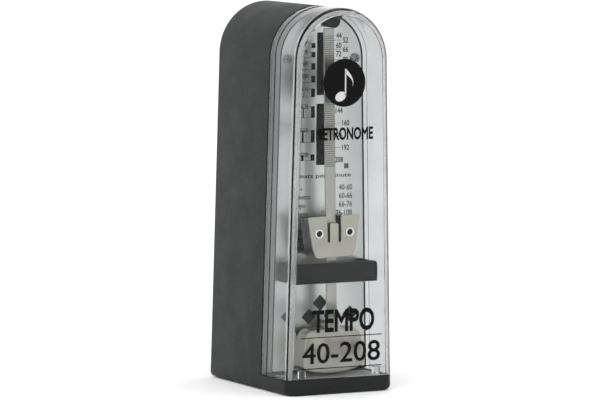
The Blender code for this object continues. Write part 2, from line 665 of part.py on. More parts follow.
def build_winding(paint, axis):
    """Build the key, the barrel arbor and the ratchet wheel that turn together."""
    profile = [(0.0, -15.0), (2.0, -15.0), (2.0, -11.9), (2.8, -11.9), (2.8, 12.4), (2.0, 12.4)]
    profile += [(2.0, 27.0), (0.0, 27.0)]
    add_piece("barrel_arbor", turned(profile, "X", steps=16), paint["steel"], axis)
    ratchet = prism(ratchet_outline(), "X", 15.0, 16.4)
    ratchet = add_piece("ratchet_wheel", ratchet, paint["steel"], axis)
    cut(ratchet, rod_shape(2.0 + GAP, 14.0, 18.0, "X", steps=16), "bore")
    outside = half_width(BARREL_Z) + 0.8
    hub = [(0.0, 27.3), (2.3, 27.3), (2.3, 19.0), (3.2, 19.0), (3.2, outside), (4.6, outside)]
    hub += [(4.6, outside + 3.6), (3.6, outside + 5.0), (0.0, outside + 5.0)]
    key = add_piece("winding_key", turned(hub, "X", steps=24), paint["black"], axis)
    wing = rounded_box(-KEY_WING[0], -KEY_WING[1], KEY_WING[0], KEY_WING[1], KEY_WING[0] - 0.1)
    fuse(key, prism(wing, "X", outside + 3.5, outside + KEY_REACH), "wing")


def build_click(paint, axis):
    """Build the sprung click that stops the ratchet wheel from running back."""
    pin = Vector((CLICK_PIVOT[0] - TRAIN_Y, CLICK_PIVOT[1] - BARREL_Z))
    # bearing and radius of the hooked nose's three corners, about the ratchet
    nose = ((-2.0, RATCHET_RADIUS - 0.25), (0.5, RATCHET_RADIUS + 1.6), (-12.0, RATCHET_RADIUS + 0.7))
    tip, back, throat = [
        Vector((radius * math.cos(bearing), radius * math.sin(bearing))) - pin
        for bearing, radius in ((CLICK_BEARING + math.radians(a), r) for a, r in nose)
    ]
    outline = [tip, back, (1.8, 0.9), (0.9, -1.9), (-1.7, -0.9), throat]
    click = add_piece("click", prism(outline, "X", 15.0, 16.4), paint["steel"], axis)
    cut(click, rod_shape(1.2, 14.0, 18.0, "X", steps=12), "bore")


def build_click_fittings(paint):
    """Build the click's pin and its leaf spring, both fixed to the right plate."""
    outer_face = PLATE_RIGHT_X + MOVEMENT_PLATE
    y, z = CLICK_PIVOT
    pin = [(0.0, outer_face + GAP), (0.9, outer_face + GAP), (0.9, 16.7)]
    pin += [(1.7, 16.7), (1.7, 17.4), (0.0, 17.4)]
    add_piece("click_pin", turned(pin, "X", (y, z), 12), paint["steel"])
    near_side = [(0.8, -7.5), (2.5, -2.0), (2.3, 1.0), (1.7, 3.4)]
    leaf = near_side + [(v + 0.5, w) for v, w in reversed(near_side)]
    leaf = [(y + v, z + w) for v, w in leaf]
    add_piece("click_spring", prism(leaf, "X", outer_face + GAP, 16.2), paint["steel"])


def build_intermediate(paint, axis):
    """Build the second arbor: a pinion driven by the great wheel, and a wheel."""
    pinion_x, wheel_x = (-10.8, -6.6), (9.2, 10.3)
    profile = [(0.0, PLATE_LEFT_X + 0.2), (0.8, PLATE_LEFT_X + 0.2), (0.8, PLATE_RIGHT_X + 1.3)]
    profile += [(0.0, PLATE_RIGHT_X + 1.3)]
    add_piece("intermediate_arbor", turned(profile, "X", steps=10), paint["steel"], axis)
    half_leaf = math.pi / PINION_LEAVES
    leaves = gear_outline(PINION_LEAVES, GREAT_MODULE, (0.0, 0.0), math.pi / 2 + half_leaf)
    pinion = add_piece("intermediate_pinion", prism(leaves, "X", *pinion_x), paint["steel"], axis)
    cut(pinion, rod_shape(0.8 + GAP, -12.0, -5.0, "X", steps=10), "bore")
    teeth = gear_outline(SECOND_TEETH, SECOND_MODULE, (0.0, 0.0), math.pi / 2)
    wheel = add_piece("intermediate_wheel", prism(teeth, "X", *wheel_x), paint["brass"], axis)
    cut(wheel, rod_shape(0.8 + GAP, 8.0, 12.0, "X", steps=10), "bore")


def build_escape(paint, axis):
    """Build the escape arbor, its pinion and the crown wheel facing the pallets."""
    profile = [(0.0, 2.2), (0.5, 2.2), (0.5, 3.3), (0.8, 3.3), (0.8, PLATE_RIGHT_X + 1.3)]
    profile += [(0.0, PLATE_RIGHT_X + 1.3)]
    add_piece("escape_arbor", turned(profile, "X", steps=10), paint["steel"], axis)
    half_leaf = math.pi / PINION_LEAVES
    leaves = gear_outline(PINION_LEAVES, SECOND_MODULE, (0.0, 0.0), math.pi / 2 + half_leaf)
    pinion = add_piece("escape_pinion", prism(leaves, "X", 8.4, 11.4), paint["steel"], axis)
    cut(pinion, rod_shape(0.8 + GAP, 8.0, 12.0, "X", steps=10), "bore")

    inner, outer = ESCAPE_RADIUS - 0.5, ESCAPE_RADIUS + 0.5
    tip, root, web, back = 3.5, 4.7, 5.4, 6.3
    sections = []
    for k in range(ESCAPE_TEETH):
        for part, edge in ((0.0, root), (0.08, tip), (0.2, tip)):
            angle = math.tau * (k + part) / ESCAPE_TEETH
            loop = ((1.1, web), (1.1, back), (outer, back), (outer, edge), (inner, edge), (inner, web))
            spoke = [(x, r * math.cos(angle), r * math.sin(angle)) for r, x in loop]
            sections.append(spoke)
    add_piece("escape_wheel", skin(sections, closed=True), paint["brass"], axis)


# ---------------------------------------------------------------- assembly

def build_metronome():
    """Build every piece, each moving group about its own joint axis."""
    paint = make_materials()
    build_case(paint)
    build_base(paint)
    build_front_panel(paint)
    build_bridge(paint)
    build_movement_frame(paint)
    build_click_fittings(paint)
    build_cover(paint, add_empty("cover_slide", (0.0, FRONT, 0.0)))
    pivot = add_empty("pendulum_pivot", (0.0, 0.0, PIVOT_HEIGHT), tilt=REST_TILT)
    build_pendulum(paint, pivot)
    build_weight(paint, add_empty("weight_slide", (0.0, 0.0, WEIGHT_TOP), pivot))
    barrel_axis = add_empty("barrel_axis", (0.0, TRAIN_Y, BARREL_Z))
    build_barrel(paint, barrel_axis)
    build_winding(paint, add_empty("key_axis", (0.0, TRAIN_Y, BARREL_Z)))
    build_click(paint, add_empty("click_axis", (0.0, *CLICK_PIVOT)))
    build_intermediate(paint, add_empty("intermediate_axis", (0.0, TRAIN_Y, INTERMEDIATE_Z)))
    build_escape(paint, add_empty("escape_axis", (0.0, TRAIN_Y, PIVOT_HEIGHT)))


for leftover in list(bpy.data.objects):
    bpy.data.objects.remove(leftover)
build_metronome()
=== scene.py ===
"""Looks of a compact wind-up pendulum metronome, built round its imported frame.

Everything is in metres in the frame's own axes: +X right, +Y back, +Z up.
Each sub-assembly is a class that works out its surfaces with numpy, places
them where the frame's own pieces are, and dresses them in a finish.
"""

import json
import logging
import math
from dataclasses import dataclass, field
from enum import Enum
from typing import Callable, Iterable, Optional, Sequence

import bmesh
import bpy
import numpy as np
from mathutils import Matrix, Vector

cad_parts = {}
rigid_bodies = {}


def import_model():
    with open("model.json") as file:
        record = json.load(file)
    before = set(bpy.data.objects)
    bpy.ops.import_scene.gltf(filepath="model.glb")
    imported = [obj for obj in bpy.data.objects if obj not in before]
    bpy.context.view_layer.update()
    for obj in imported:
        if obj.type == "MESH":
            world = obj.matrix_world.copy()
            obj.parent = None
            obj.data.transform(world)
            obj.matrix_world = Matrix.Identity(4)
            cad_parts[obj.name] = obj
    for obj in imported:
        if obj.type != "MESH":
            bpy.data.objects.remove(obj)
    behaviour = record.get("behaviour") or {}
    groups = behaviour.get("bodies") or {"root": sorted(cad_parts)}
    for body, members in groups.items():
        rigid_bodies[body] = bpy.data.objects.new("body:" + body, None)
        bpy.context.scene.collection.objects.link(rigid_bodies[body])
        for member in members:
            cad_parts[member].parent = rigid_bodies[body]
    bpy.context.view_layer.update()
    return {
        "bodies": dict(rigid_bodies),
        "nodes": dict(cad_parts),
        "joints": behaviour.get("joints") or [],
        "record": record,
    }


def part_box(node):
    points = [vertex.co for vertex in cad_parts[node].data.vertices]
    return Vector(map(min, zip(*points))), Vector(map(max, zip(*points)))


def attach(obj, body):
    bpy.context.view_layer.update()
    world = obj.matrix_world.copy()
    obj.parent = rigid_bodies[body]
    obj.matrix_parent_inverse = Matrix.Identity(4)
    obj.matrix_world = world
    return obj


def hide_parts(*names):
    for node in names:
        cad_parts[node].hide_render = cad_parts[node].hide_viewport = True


logging.basicConfig(level=logging.INFO, format="%(name)s: %(message)s")
log = logging.getLogger("metronome")

MM = 0.001
INK_DEPTH = 0.04 * MM
NOISE_LOW, NOISE_HIGH = 0.3, 0.7
Array = np.ndarray


class Body(str, Enum):
    """Rigid groups of the frame that a piece can ride on."""

    CASE = "case"
    COVER = "cover"
    PENDULUM = "pendulum"
    WEIGHT = "sliding_weight"
    KEY = "winding_key"


class Align(str, Enum):
    """How a line of lettering sits about its point."""

    LEFT = "LEFT"
    CENTRE = "CENTER"
    RIGHT = "RIGHT"


# ------------------------------------------------------------------ surfaces


@dataclass
class Surface:
    """A mesh in the making: points, and faces as lists of point numbers."""

    points: Array
    faces: list[list[int]]

    def moved(self, place: Callable[[Array], Array]) -> "Surface":
        """Return the surface with every point sent through a function."""
        return Surface(place(self.points), self.faces)


def joined(parts: Sequence[Surface]) -> Surface:
    """Put several surfaces into one, keeping them as separate shells.

    Args:
        parts: the surfaces.

    Returns:
        One surface that holds all the points and faces.
    """
    starts = np.cumsum([0] + [len(part.points) for part in parts])
    faces = [
        [number + int(start) for number in face]
        for part, start in zip(parts, starts)
        for face in part.faces
    ]
    return Surface(np.vstack([part.points for part in parts]), faces)


def loft(rings: Array, wrap_rows: bool = False, capped: bool = True) -> Surface:
    """Skin closed loops that have equal numbers of points.

    Quad (i, j) joins points j and j+1 of ring i to the same two of ring i+1.

    Args:
        rings: array of rings by points by 3.
        wrap_rows: join the last ring to the first.
        capped: close both ends with a flat face.

    Returns:
        The skinned surface.
    """
    count, around = rings.shape[:2]
    rows = np.arange(count if wrap_rows else count - 1)[:, None]
    columns = np.arange(around)[None, :]
    below = (rows + 1) % count
    right = (columns + 1) % around
    quads = np.stack(
        [rows * around + columns, rows * around + right, below * around + right, below * around + columns],
        axis=-1,
    ).reshape(-1, 4)
    faces = quads.tolist()
    if capped and not wrap_rows:
        faces.append(np.arange(around)[::-1].tolist())
        faces.append(((count - 1) * around + np.arange(around)).tolist())
    return Surface(rings.reshape(-1, 3), faces)


def arc(centre: Sequence[float], radius: float, start: float, end: float, steps: int) -> Array:
    """Return points on a circle, centre plus radius times (cos a, sin a), a in degrees."""
    angles = np.radians(np.linspace(start, end, steps + 1))
    return np.asarray(centre) + radius * np.stack([np.cos(angles), np.sin(angles)], axis=-1)


def rounded_rectangle(low: Sequence[float], high: Sequence[float], radius: float, steps: int = 6) -> Array:
    """Return a rectangle's outline whose corners are quarter circles."""
    (u0, v0), (u1, v1) = low, high
    corners = [
        arc((u1 - radius, v1 - radius), radius, 0, 90, steps),
        arc((u0 + radius, v1 - radius), radius, 90, 180, steps),
        arc((u0 + radius, v0 + radius), radius, 180, 270, steps),
        arc((u1 - radius, v0 + radius), radius, 270, 360, steps),
    ]
    return np.vstack(corners)


def inset_loop(loop: Array, inset: float) -> Array:
    """Move a counter-clockwise outline inwards by an even distance.

    Each point goes along the mean of its two edges' inward normals, divided by
    the cosine of half their turn, so that edges stay parallel to themselves.

    Args:
        loop: points by 2.
        inset: distance inwards.

    Returns:
        The moved outline.
    """
    edges = np.roll(loop, -1, axis=0) - loop
    edges /= np.linalg.norm(edges, axis=1, keepdims=True)
    inward = np.stack([-edges[:, 1], edges[:, 0]], axis=-1)
    mean = inward + np.roll(inward, 1, axis=0)
    mean /= np.maximum((mean**2).sum(axis=1, keepdims=True) / 2, 0.5)
    return loop + inset * mean


def at_depth(flat: Array, y: float) -> Array:
    """Stand an outline in x and z at a depth."""
    return np.stack([flat[:, 0], np.full(len(flat), y), flat[:, 1]], axis=-1)


def at_level(flat: Array, z: float) -> Array:
    """Lay an outline in x and y at a level."""
    return np.column_stack([flat, np.full(len(flat), z)])


def prism(plan: Array, low: float, high: float) -> Surface:
    """Extrude an outline in x and y from one level to another."""
    return loft(np.array([at_level(plan, low), at_level(plan, high)]))


def slab(outline: Array, low: float, high: float, edge: float = 0.0, steps: int = 4) -> Surface:
    """Extrude an outline in x and z along y, with both rims rounded.

    A rim's ring at angle a is set in by edge (1 - sin a) and lies
    edge (1 - cos a) from the end face.

    Args:
        outline: counter-clockwise points in x and z.
        low: front, in y.
        high: back, in y.
        edge: radius of the rims.
        steps: facets round a rim.

    Returns:
        A closed surface.
    """
    if edge <= 0.0:
        profile = [(low, 0.0), (high, 0.0)]
    else:
        angles = np.linspace(0.0, math.pi / 2, steps + 1)
        front = np.stack([low + edge * (1 - np.cos(angles)), edge * (1 - np.sin(angles))], axis=-1)
        back = np.stack([high - edge * (1 - np.cos(angles)), edge * (1 - np.sin(angles))], axis=-1)
        profile = np.vstack([front, back[::-1]])
    return loft(np.array([at_depth(inset_loop(outline, inset), y) for y, inset in profile]))


def lathe(profile: Sequence[Sequence[float]], steps: int, ring: bool = False) -> Surface:
    """Turn a profile about the y axis: (r, y) goes to (r cos a, y, r sin a).

    Args:
        profile: pairs of radius and place along the axis.
        steps: facets round the axis.
        ring: the profile is a closed loop clear of the axis.

    Returns:
        A closed surface; points on the axis are drawn as a tiny flat face.
    """
    shape = np.asarray(profile, dtype=float)
    angles = np.linspace(0.0, math.tau, steps, endpoint=False)
    radius = np.maximum(shape[:, 0], 1e-7)[:, None]
    x = radius * np.cos(angles)
    z = radius * np.sin(angles)
    y = np.broadcast_to(shape[:, 1][:, None], x.shape)
    return loft(np.stack([x, y, z], axis=-1), wrap_rows=ring, capped=not ring)


def box(low: Sequence[float], high: Sequence[float]) -> Surface:
    """Return a plain block between two corners."""
    outline = np.array([(low[0], low[2]), (high[0], low[2]), (high[0], high[2]), (low[0], high[2])])
    return slab(outline, low[1], high[1])


def shift(surface: Surface, x: float = 0.0, y: float = 0.0, z: float = 0.0) -> Surface:
    """Return the surface moved by a distance along each axis."""
    return Surface(surface.points + np.array([x, y, z]), surface.faces)


def round_bar(radius: float, front: float, back: float, level: float) -> Surface:
    """Return a round bar along y at a level, which cuts a bore."""
    profile = [(0.0, front), (radius, front), (radius, back), (0.0, back)]
    return shift(lathe(profile, 32), 0.0, 0.0, level)


def y_to_x(surface: Surface) -> Surface:
    """Swing a surface's y axis onto x: (x, y, z) goes to (y, -x, z)."""
    points = surface.points
    return Surface(np.stack([points[:, 1], -points[:, 0], points[:, 2]], axis=-1), surface.faces)


# ------------------------------------------------------------------ finishes


class Nodes:
    """A thin layer over a material's node tree."""

    def __init__(self, name: str) -> None:
        """Start a material with one Principled shader."""
        self.material = bpy.data.materials.new(name)
        self.material.use_nodes = True
        self.tree = self.material.node_tree
        self.shader = self.tree.nodes["Principled BSDF"]
        self.coordinates = self.tree.nodes.new("ShaderNodeTexCoord")

    def set(self, **values: object) -> None:
        """Set the shader's own sockets; an underscore stands for a space."""
        for name, value in values.items():
            self.shader.inputs[name.replace("_", " ")].default_value = value

    def mapping(self, scale: Sequence[float]) -> bpy.types.NodeSocket:
        """Return object coordinates stretched along each axis."""
        node = self.tree.nodes.new("ShaderNodeMapping")
        node.inputs["Scale"].default_value = scale
        self.tree.links.new(self.coordinates.outputs["Object"], node.inputs["Vector"])
        return node.outputs["Vector"]

    def noise(self, scale: float, detail: float = 3.0,
              stretch: Sequence[float] = (1, 1, 1)) -> bpy.types.NodeSocket:
        """Return a noise field in object coordinates."""
        node = self.tree.nodes.new("ShaderNodeTexNoise")
        node.inputs["Scale"].default_value = scale
        node.inputs["Detail"].default_value = detail
        self.tree.links.new(self.mapping(stretch), node.inputs["Vector"])
        return node.outputs["Fac"]

    def ramp(self, value: bpy.types.NodeSocket, low: Sequence[float], high: Sequence[float],
             start: float = NOISE_LOW, end: float = NOISE_HIGH) -> bpy.types.NodeSocket:
        """Turn a field into a blend of two colours."""
        node = self.tree.nodes.new("ShaderNodeValToRGB")
        node.color_ramp.elements[0].position = start
        node.color_ramp.elements[1].position = end
        node.color_ramp.elements[0].color = (*low, 1.0)
        node.color_ramp.elements[1].color = (*high, 1.0)
        self.tree.links.new(value, node.inputs["Fac"])
        return node.outputs["Color"]

    def spread(self, value: bpy.types.NodeSocket, low: float, high: float) -> bpy.types.NodeSocket:
        """Map a field from its middle range onto low..high."""
        node = self.tree.nodes.new("ShaderNodeMapRange")
        node.inputs["From Min"].default_value = NOISE_LOW
        node.inputs["From Max"].default_value = NOISE_HIGH
        node.inputs["To Min"].default_value = low
        node.inputs["To Max"].default_value = high
        self.tree.links.new(value, node.inputs["Value"])
        return node.outputs["Result"]

    def plug(self, socket: str, value: bpy.types.NodeSocket) -> None:
        """Link a field to one of the shader's sockets."""
        self.tree.links.new(value, self.shader.inputs[socket])

    def bump(self, height: bpy.types.NodeSocket, strength: float, distance: float) -> None:
        """Raise the surface by a height field."""
        node = self.tree.nodes.new("ShaderNodeBump")
        node.inputs["Strength"].default_value = strength
        node.inputs["Distance"].default_value = distance
        self.tree.links.new(height, node.inputs["Height"])
        self.tree.links.new(node.outputs["Normal"], self.shader.inputs["Normal"])


@dataclass(frozen=True)
class Moulded:
    """Moulded plastic or rubber with a fine even grain."""

    name: str
    colour: tuple[float, float, float]
    lighter: tuple[float, float, float]
    roughness: tuple[float, float] = (0.4, 0.5)
    grain: float = 2600.0
    relief: float = 0.1
    relief_depth: float = 0.00005
    gloss: float = 0.5

    def make(self) -> bpy.types.Material:
        """Return the material."""
        nodes = Nodes(self.name)
        nodes.set(Specular_IOR_Level=self.gloss)
        nodes.plug("Base Color", nodes.ramp(nodes.noise(self.grain * 0.5), self.colour, self.lighter))
        nodes.plug("Roughness", nodes.spread(nodes.noise(90.0), *self.roughness))
        nodes.bump(nodes.noise(self.grain, 2.0), self.relief, self.relief_depth)
        return nodes.material


@dataclass(frozen=True)
class Metal:
    """Plated or turned metal with faint brushing along one direction."""

    name: str
    colour: tuple[float, float, float]
    duller: tuple[float, float, float]
    roughness: tuple[float, float] = (0.22, 0.34)
    brush: tuple[float, float, float] = (1.0, 1.0, 1.0)
    scale: float = 900.0
    relief: float = 0.04
    relief_depth: float = 0.00004

    def make(self) -> bpy.types.Material:
        """Return the material."""
        nodes = Nodes(self.name)
        nodes.set(Metallic=1.0)
        streaks = nodes.noise(self.scale, 4.0, self.brush)
        nodes.plug("Base Color", nodes.ramp(nodes.noise(60.0), self.duller, self.colour))
        nodes.plug("Roughness", nodes.spread(streaks, *self.roughness))
        nodes.bump(streaks, self.relief, self.relief_depth)
        return nodes.material


@dataclass(frozen=True)
class Clear:
    """Clear moulded plastic."""

    name: str
    tint: tuple[float, float, float] = (0.850, 0.862, 0.860)
    clearer: tuple[float, float, float] = (0.875, 0.886, 0.884)
    index: float = 1.42
    sheen: float = 0.35
    roughness: tuple[float, float] = (0.0, 0.004)
    speckle: float = 0.0
    speckle_grain: float = 1500.0
    speckle_depth: float = 0.0006
    clearness: float = 1.0

    def make(self) -> bpy.types.Material:
        """Return the material."""
        nodes = Nodes(self.name)
        nodes.set(Transmission_Weight=self.clearness, IOR=self.index,
                  Specular_Tint=(self.sheen, self.sheen, self.sheen, 1.0))
        nodes.plug("Base Color", nodes.ramp(nodes.noise(40.0), self.tint, self.clearer))
        nodes.plug("Roughness", nodes.spread(nodes.noise(25.0), *self.roughness))
        if self.speckle > 0.0:
            nodes.bump(nodes.noise(self.speckle_grain, 2.0), self.speckle, self.speckle_depth)
        return nodes.material


@dataclass(frozen=True)
class Ink:
    """Printing ink, slightly uneven; black ink also paints the shade round the panel's rim, and grey ink the
    shade in the rod's notches.
    """

    name: str
    colour: tuple[float, float, float] = (0.004, 0.004, 0.004)
    thin: tuple[float, float, float] = (0.007, 0.007, 0.007)
    gloss: float = 0.05

    def make(self) -> bpy.types.Material:
        """Return the material."""
        nodes = Nodes(self.name)
        nodes.set(Specular_IOR_Level=self.gloss)
        nodes.plug("Base Color", nodes.ramp(nodes.noise(3000.0), self.colour, self.thin, 0.4, 0.8))
        nodes.plug("Roughness", nodes.spread(nodes.noise(1500.0), 0.4, 0.6))
        return nodes.material


class Palette:
    """Every finish of the instrument, made once."""

    def __init__(self) -> None:
        """Make the materials."""
        self.case = Moulded("case_grain", (0.0115, 0.0130, 0.0130), (0.0190, 0.0210, 0.0210), (0.5, 0.62),
                            1500.0, 0.55, 0.00012, 0.3).make()
        self.plinth = Moulded("plinth_black", (0.006, 0.007, 0.007), (0.010, 0.011, 0.011), (0.42, 0.5),
                              gloss=0.2).make()
        self.black = Moulded("smooth_black", (0.012, 0.013, 0.013), (0.017, 0.018, 0.018), (0.36, 0.46),
                             gloss=0.15).make()
        self.frame = Moulded("frame_silver", (0.47, 0.485, 0.485), (0.55, 0.565, 0.565), (0.35, 0.45)).make()
        # rubber for the feet and pad, and the dark sheet of painted shade behind the plate's holes
        self.rubber = Moulded("soft_rubber", (0.012, 0.012, 0.012), (0.020, 0.020, 0.020), (0.75, 0.9)).make()
        self.clear = Clear("clear_cover").make()
        # a darker tint of the same clear plastic for the side walls: painted shade for how thick walls darken
        # when seen edge on
        self.clear_side = Clear("clear_side", (0.62, 0.635, 0.64), (0.70, 0.715, 0.72)).make()
        self.frosted = Clear("frosted_edge", (0.90, 0.905, 0.90), (0.97, 0.97, 0.97),
                             roughness=(0.25, 0.4), speckle=1.0, clearness=0.6).make()
        # a darker copy of the weight's nickel for its folded clip: painted shade and painted dark reflection
        self.dark_steel = Metal("dark_steel", (0.17, 0.17, 0.165), (0.10, 0.10, 0.10), (0.24, 0.34),
                                (1.0, 1.0, 0.1)).make()
        self.plate = Metal("satin_plate", (0.71, 0.73, 0.725), (0.67, 0.69, 0.685), (0.30, 0.36),
                           (1.0, 1.0, 0.05), 700.0, 0.01).make()
        self.nickel = Metal("warm_nickel", (0.51, 0.495, 0.43), (0.45, 0.44, 0.38), (0.30, 0.42),
                            (1.0, 1.0, 0.3)).make()
        self.rod = Metal("rod_steel", (0.47, 0.465, 0.43), (0.42, 0.415, 0.385), (0.30, 0.42),
                         (1.0, 1.0, 0.08)).make()
        self.steel = Metal("turned_steel", (0.50, 0.50, 0.49), (0.40, 0.40, 0.40), (0.12, 0.22)).make()
        self.screw_steel = Metal("screw_steel", (0.32, 0.32, 0.31), (0.20, 0.20, 0.20), (0.22, 0.32)).make()
        self.bright_steel = Metal("bright_steel", (0.86, 0.86, 0.85), (0.78, 0.78, 0.77), (0.12, 0.2)).make()
        self.brass = Metal("grained_brass", (0.60, 0.44, 0.18), (0.50, 0.37, 0.14)).make()
        # black print, and painted shade in the dark line round the panel's rim
        self.ink = Ink("black_ink").make()
        # grey print for the scale's square, and painted shade in the rod's notches
        self.grey_ink = Ink("grey_ink", (0.12, 0.12, 0.12), (0.16, 0.16, 0.16)).make()
        self.pale_ink = Ink("pale_ink", (0.50, 0.51, 0.50), (0.58, 0.59, 0.58), 0.5).make()


# ------------------------------------------------------------------ workshop


@dataclass
class Workshop:
    """Turns surfaces into pieces of the scene and hands them to the frame."""

    palette: Palette
    frame: dict
    sharp: float = 32.0

    def add(self, name: str, surface: Surface, material: bpy.types.Material, body: Body,
            slot: str, stands_for: Iterable[str] = (), smooth: bool = True,
            others: Sequence[bpy.types.Material] = (), finish: Optional[Array] = None) -> None:
        """Make a piece at its place.

        Args:
            name: the piece's name.
            surface: its surface, already in place.
            material: its finish.
            body: the rigid group that it moves with.
            slot: the record's material slot; not used.
            stands_for: frame nodes that it replaces.
            smooth: shade across edges flatter than the sharp angle.
            others: the piece's further finishes.
            finish: for each face, 0 for the first finish or the number of a further one.
        """
        mesh = bpy.data.meshes.new(name)
        mesh.from_pydata(surface.points.tolist(), [], surface.faces)
        if finish is not None:
            mesh.polygons.foreach_set("material_index", finish.astype(np.int32))
        mesh.validate()
        face_outwards(mesh)
        if smooth:
            mesh.shade_smooth()
            mesh.set_sharp_from_angle(angle=math.radians(self.sharp))
        for look in (material, *others):
            mesh.materials.append(look)
        piece = bpy.data.objects.new(name, mesh)
        bpy.context.scene.collection.objects.link(piece)
        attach(piece, body.value)
        if stands_for:
            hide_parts(*stands_for)
        log.info("%s: %d faces on %s", name, len(mesh.polygons), body.value)

    def dress(self, material: bpy.types.Material, *nodes: str) -> None:
        """Give frame nodes a finish, leaving their shapes alone."""
        for name in nodes:
            node = self.frame["nodes"][name]
            node.data.materials.clear()
            node.data.materials.append(material)
        log.info("dressed %s in %s", ", ".join(nodes), material.name)


def face_outwards(mesh: bpy.types.Mesh) -> None:
    """Turn a mesh's faces so that each closed shell faces outwards."""
    work = bmesh.new()
    work.from_mesh(mesh)
    bmesh.ops.remove_doubles(work, verts=work.verts, dist=1e-7)
    bmesh.ops.recalc_face_normals(work, faces=work.faces)
    work.to_mesh(mesh)
    work.free()


def surface_of(holder: bpy.types.Object) -> Surface:
    """Return an object's surface with its modifiers applied."""
    bpy.context.view_layer.update()
    mesh = bpy.data.meshes.new_from_object(holder.evaluated_get(bpy.context.evaluated_depsgraph_get()))
    flat = np.empty(len(mesh.vertices) * 3)
    mesh.vertices.foreach_get("co", flat)
    faces = [list(face.vertices) for face in mesh.polygons]
    bpy.data.meshes.remove(mesh)
    return Surface(flat.reshape(-1, 3), faces)


def difference(solid: Surface, cutter: Surface) -> Surface:
    """Return a closed solid with another one taken out of it."""
    bodies = []
    for surface in (solid, cutter):
        mesh = bpy.data.meshes.new("pattern")
        mesh.from_pydata(surface.points.tolist(), [], surface.faces)
        face_outwards(mesh)
        bodies.append(bpy.data.objects.new("pattern", mesh))
        bpy.context.scene.collection.objects.link(bodies[-1])
    boolean = bodies[0].modifiers.new("cut", "BOOLEAN")
    boolean.operation = "DIFFERENCE"
    boolean.solver = "EXACT"
    boolean.object = bodies[1]
    result = surface_of(bodies[0])
    for body in bodies:
        mesh = body.data
        bpy.data.objects.remove(body)
        bpy.data.meshes.remove(mesh)
    return result


def mesh_of_curve(curve: bpy.types.Curve) -> Surface:
    """Turn a curve or a line of type into a surface and remove the curve."""
    holder = bpy.data.objects.new("pattern", curve)
    bpy.context.scene.collection.objects.link(holder)
    result = surface_of(holder)
    bpy.data.objects.remove(holder)
    bpy.data.curves.remove(curve)
    return result


def set_type(text: str, weight: float) -> Surface:
    """Return a line of type one unit in size, with its strokes thickened by weight."""
    curve = bpy.data.curves.new("type", "FONT")
    curve.body = text
    curve.bevel_depth = weight
    curve.bevel_resolution = 0
    curve.extrude = 0.5
    curve.resolution_u = 3
    return mesh_of_curve(curve)


def lettering(text: str, height: float, at: Sequence[float], align: Align = Align.CENTRE,
              width: Optional[float] = None, narrow: float = 0.86, weight: float = 0.0,
              depth: float = INK_DEPTH) -> Surface:
    """Return printed lettering on the plane y = at[1], facing -y.

    The type is scaled so that a capital is as tall as asked; x is scaled
    either to the same measure times narrow, or to fill a given width.

    Args:
        text: what it says.
        height: height of a capital.
        at: the middle, left end or right end of the line, at half the capitals' height.
        align: which of those at is.
        width: width of the whole line, if it is to fill one.
        narrow: width of a letter against the type's own.
        weight: how far the strokes are thickened, as a share of the type's size.
        depth: thickness of the ink.

    Returns:
        The lettering's surface.
    """
    capital = set_type("H", weight).points
    low, high = capital[:, 1].min(), capital[:, 1].max()
    scale = height / (high - low)
    surface = set_type(text, weight)
    x, y, side = surface.points.T
    span = x.max() - x.min()
    x_scale = width / span if width else scale * narrow
    middle = {Align.LEFT: x.min(), Align.CENTRE: (x.min() + x.max()) / 2, Align.RIGHT: x.max()}[align]
    points = np.stack(
        [
            at[0] + (x - middle) * x_scale,
            at[1] - depth / 2 - np.sign(side) * depth / 2,
            at[2] + (y - (low + high) / 2) * scale,
        ],
        axis=-1,
    )
    return Surface(points, surface.faces)


def sheet(outline: Array, holes: Sequence[Array], low: float, high: float, edge: float) -> Surface:
    """Return a sheet with holes and rounded edges, flat in x and z.

    The outline and the holes are filled as one flat curve whose rim is a
    quarter round on each side. The curve is in millimetres, and its mesh is
    brought back to metres.

    Args:
        outline: points in x and z.
        holes: outlines of the holes.
        low: front, in y.
        high: back, in y.
        edge: radius of every edge.

    Returns:
        A closed surface.
    """
    per_metre = 1000.0
    curve = bpy.data.curves.new("sheet", "CURVE")
    curve.dimensions = "2D"
    curve.fill_mode = "BOTH"
    curve.extrude = ((high - low) / 2 - edge) * per_metre
    curve.bevel_depth = edge * per_metre
    curve.bevel_resolution = 2
    curve.offset = -edge * per_metre
    for loop in (outline, *holes):
        spline = curve.splines.new("POLY")
        spline.points.add(len(loop) - 1)
        flat = np.column_stack([loop * per_metre, np.zeros(len(loop)), np.ones(len(loop))])
        spline.points.foreach_set("co", flat.ravel())
        spline.use_cyclic_u = True
    surface = mesh_of_curve(curve)
    x, z, side = surface.points.T / per_metre
    return Surface(np.stack([x, (low + high) / 2 - side, z], axis=-1), surface.faces)


# ------------------------------------------------------------------ outline


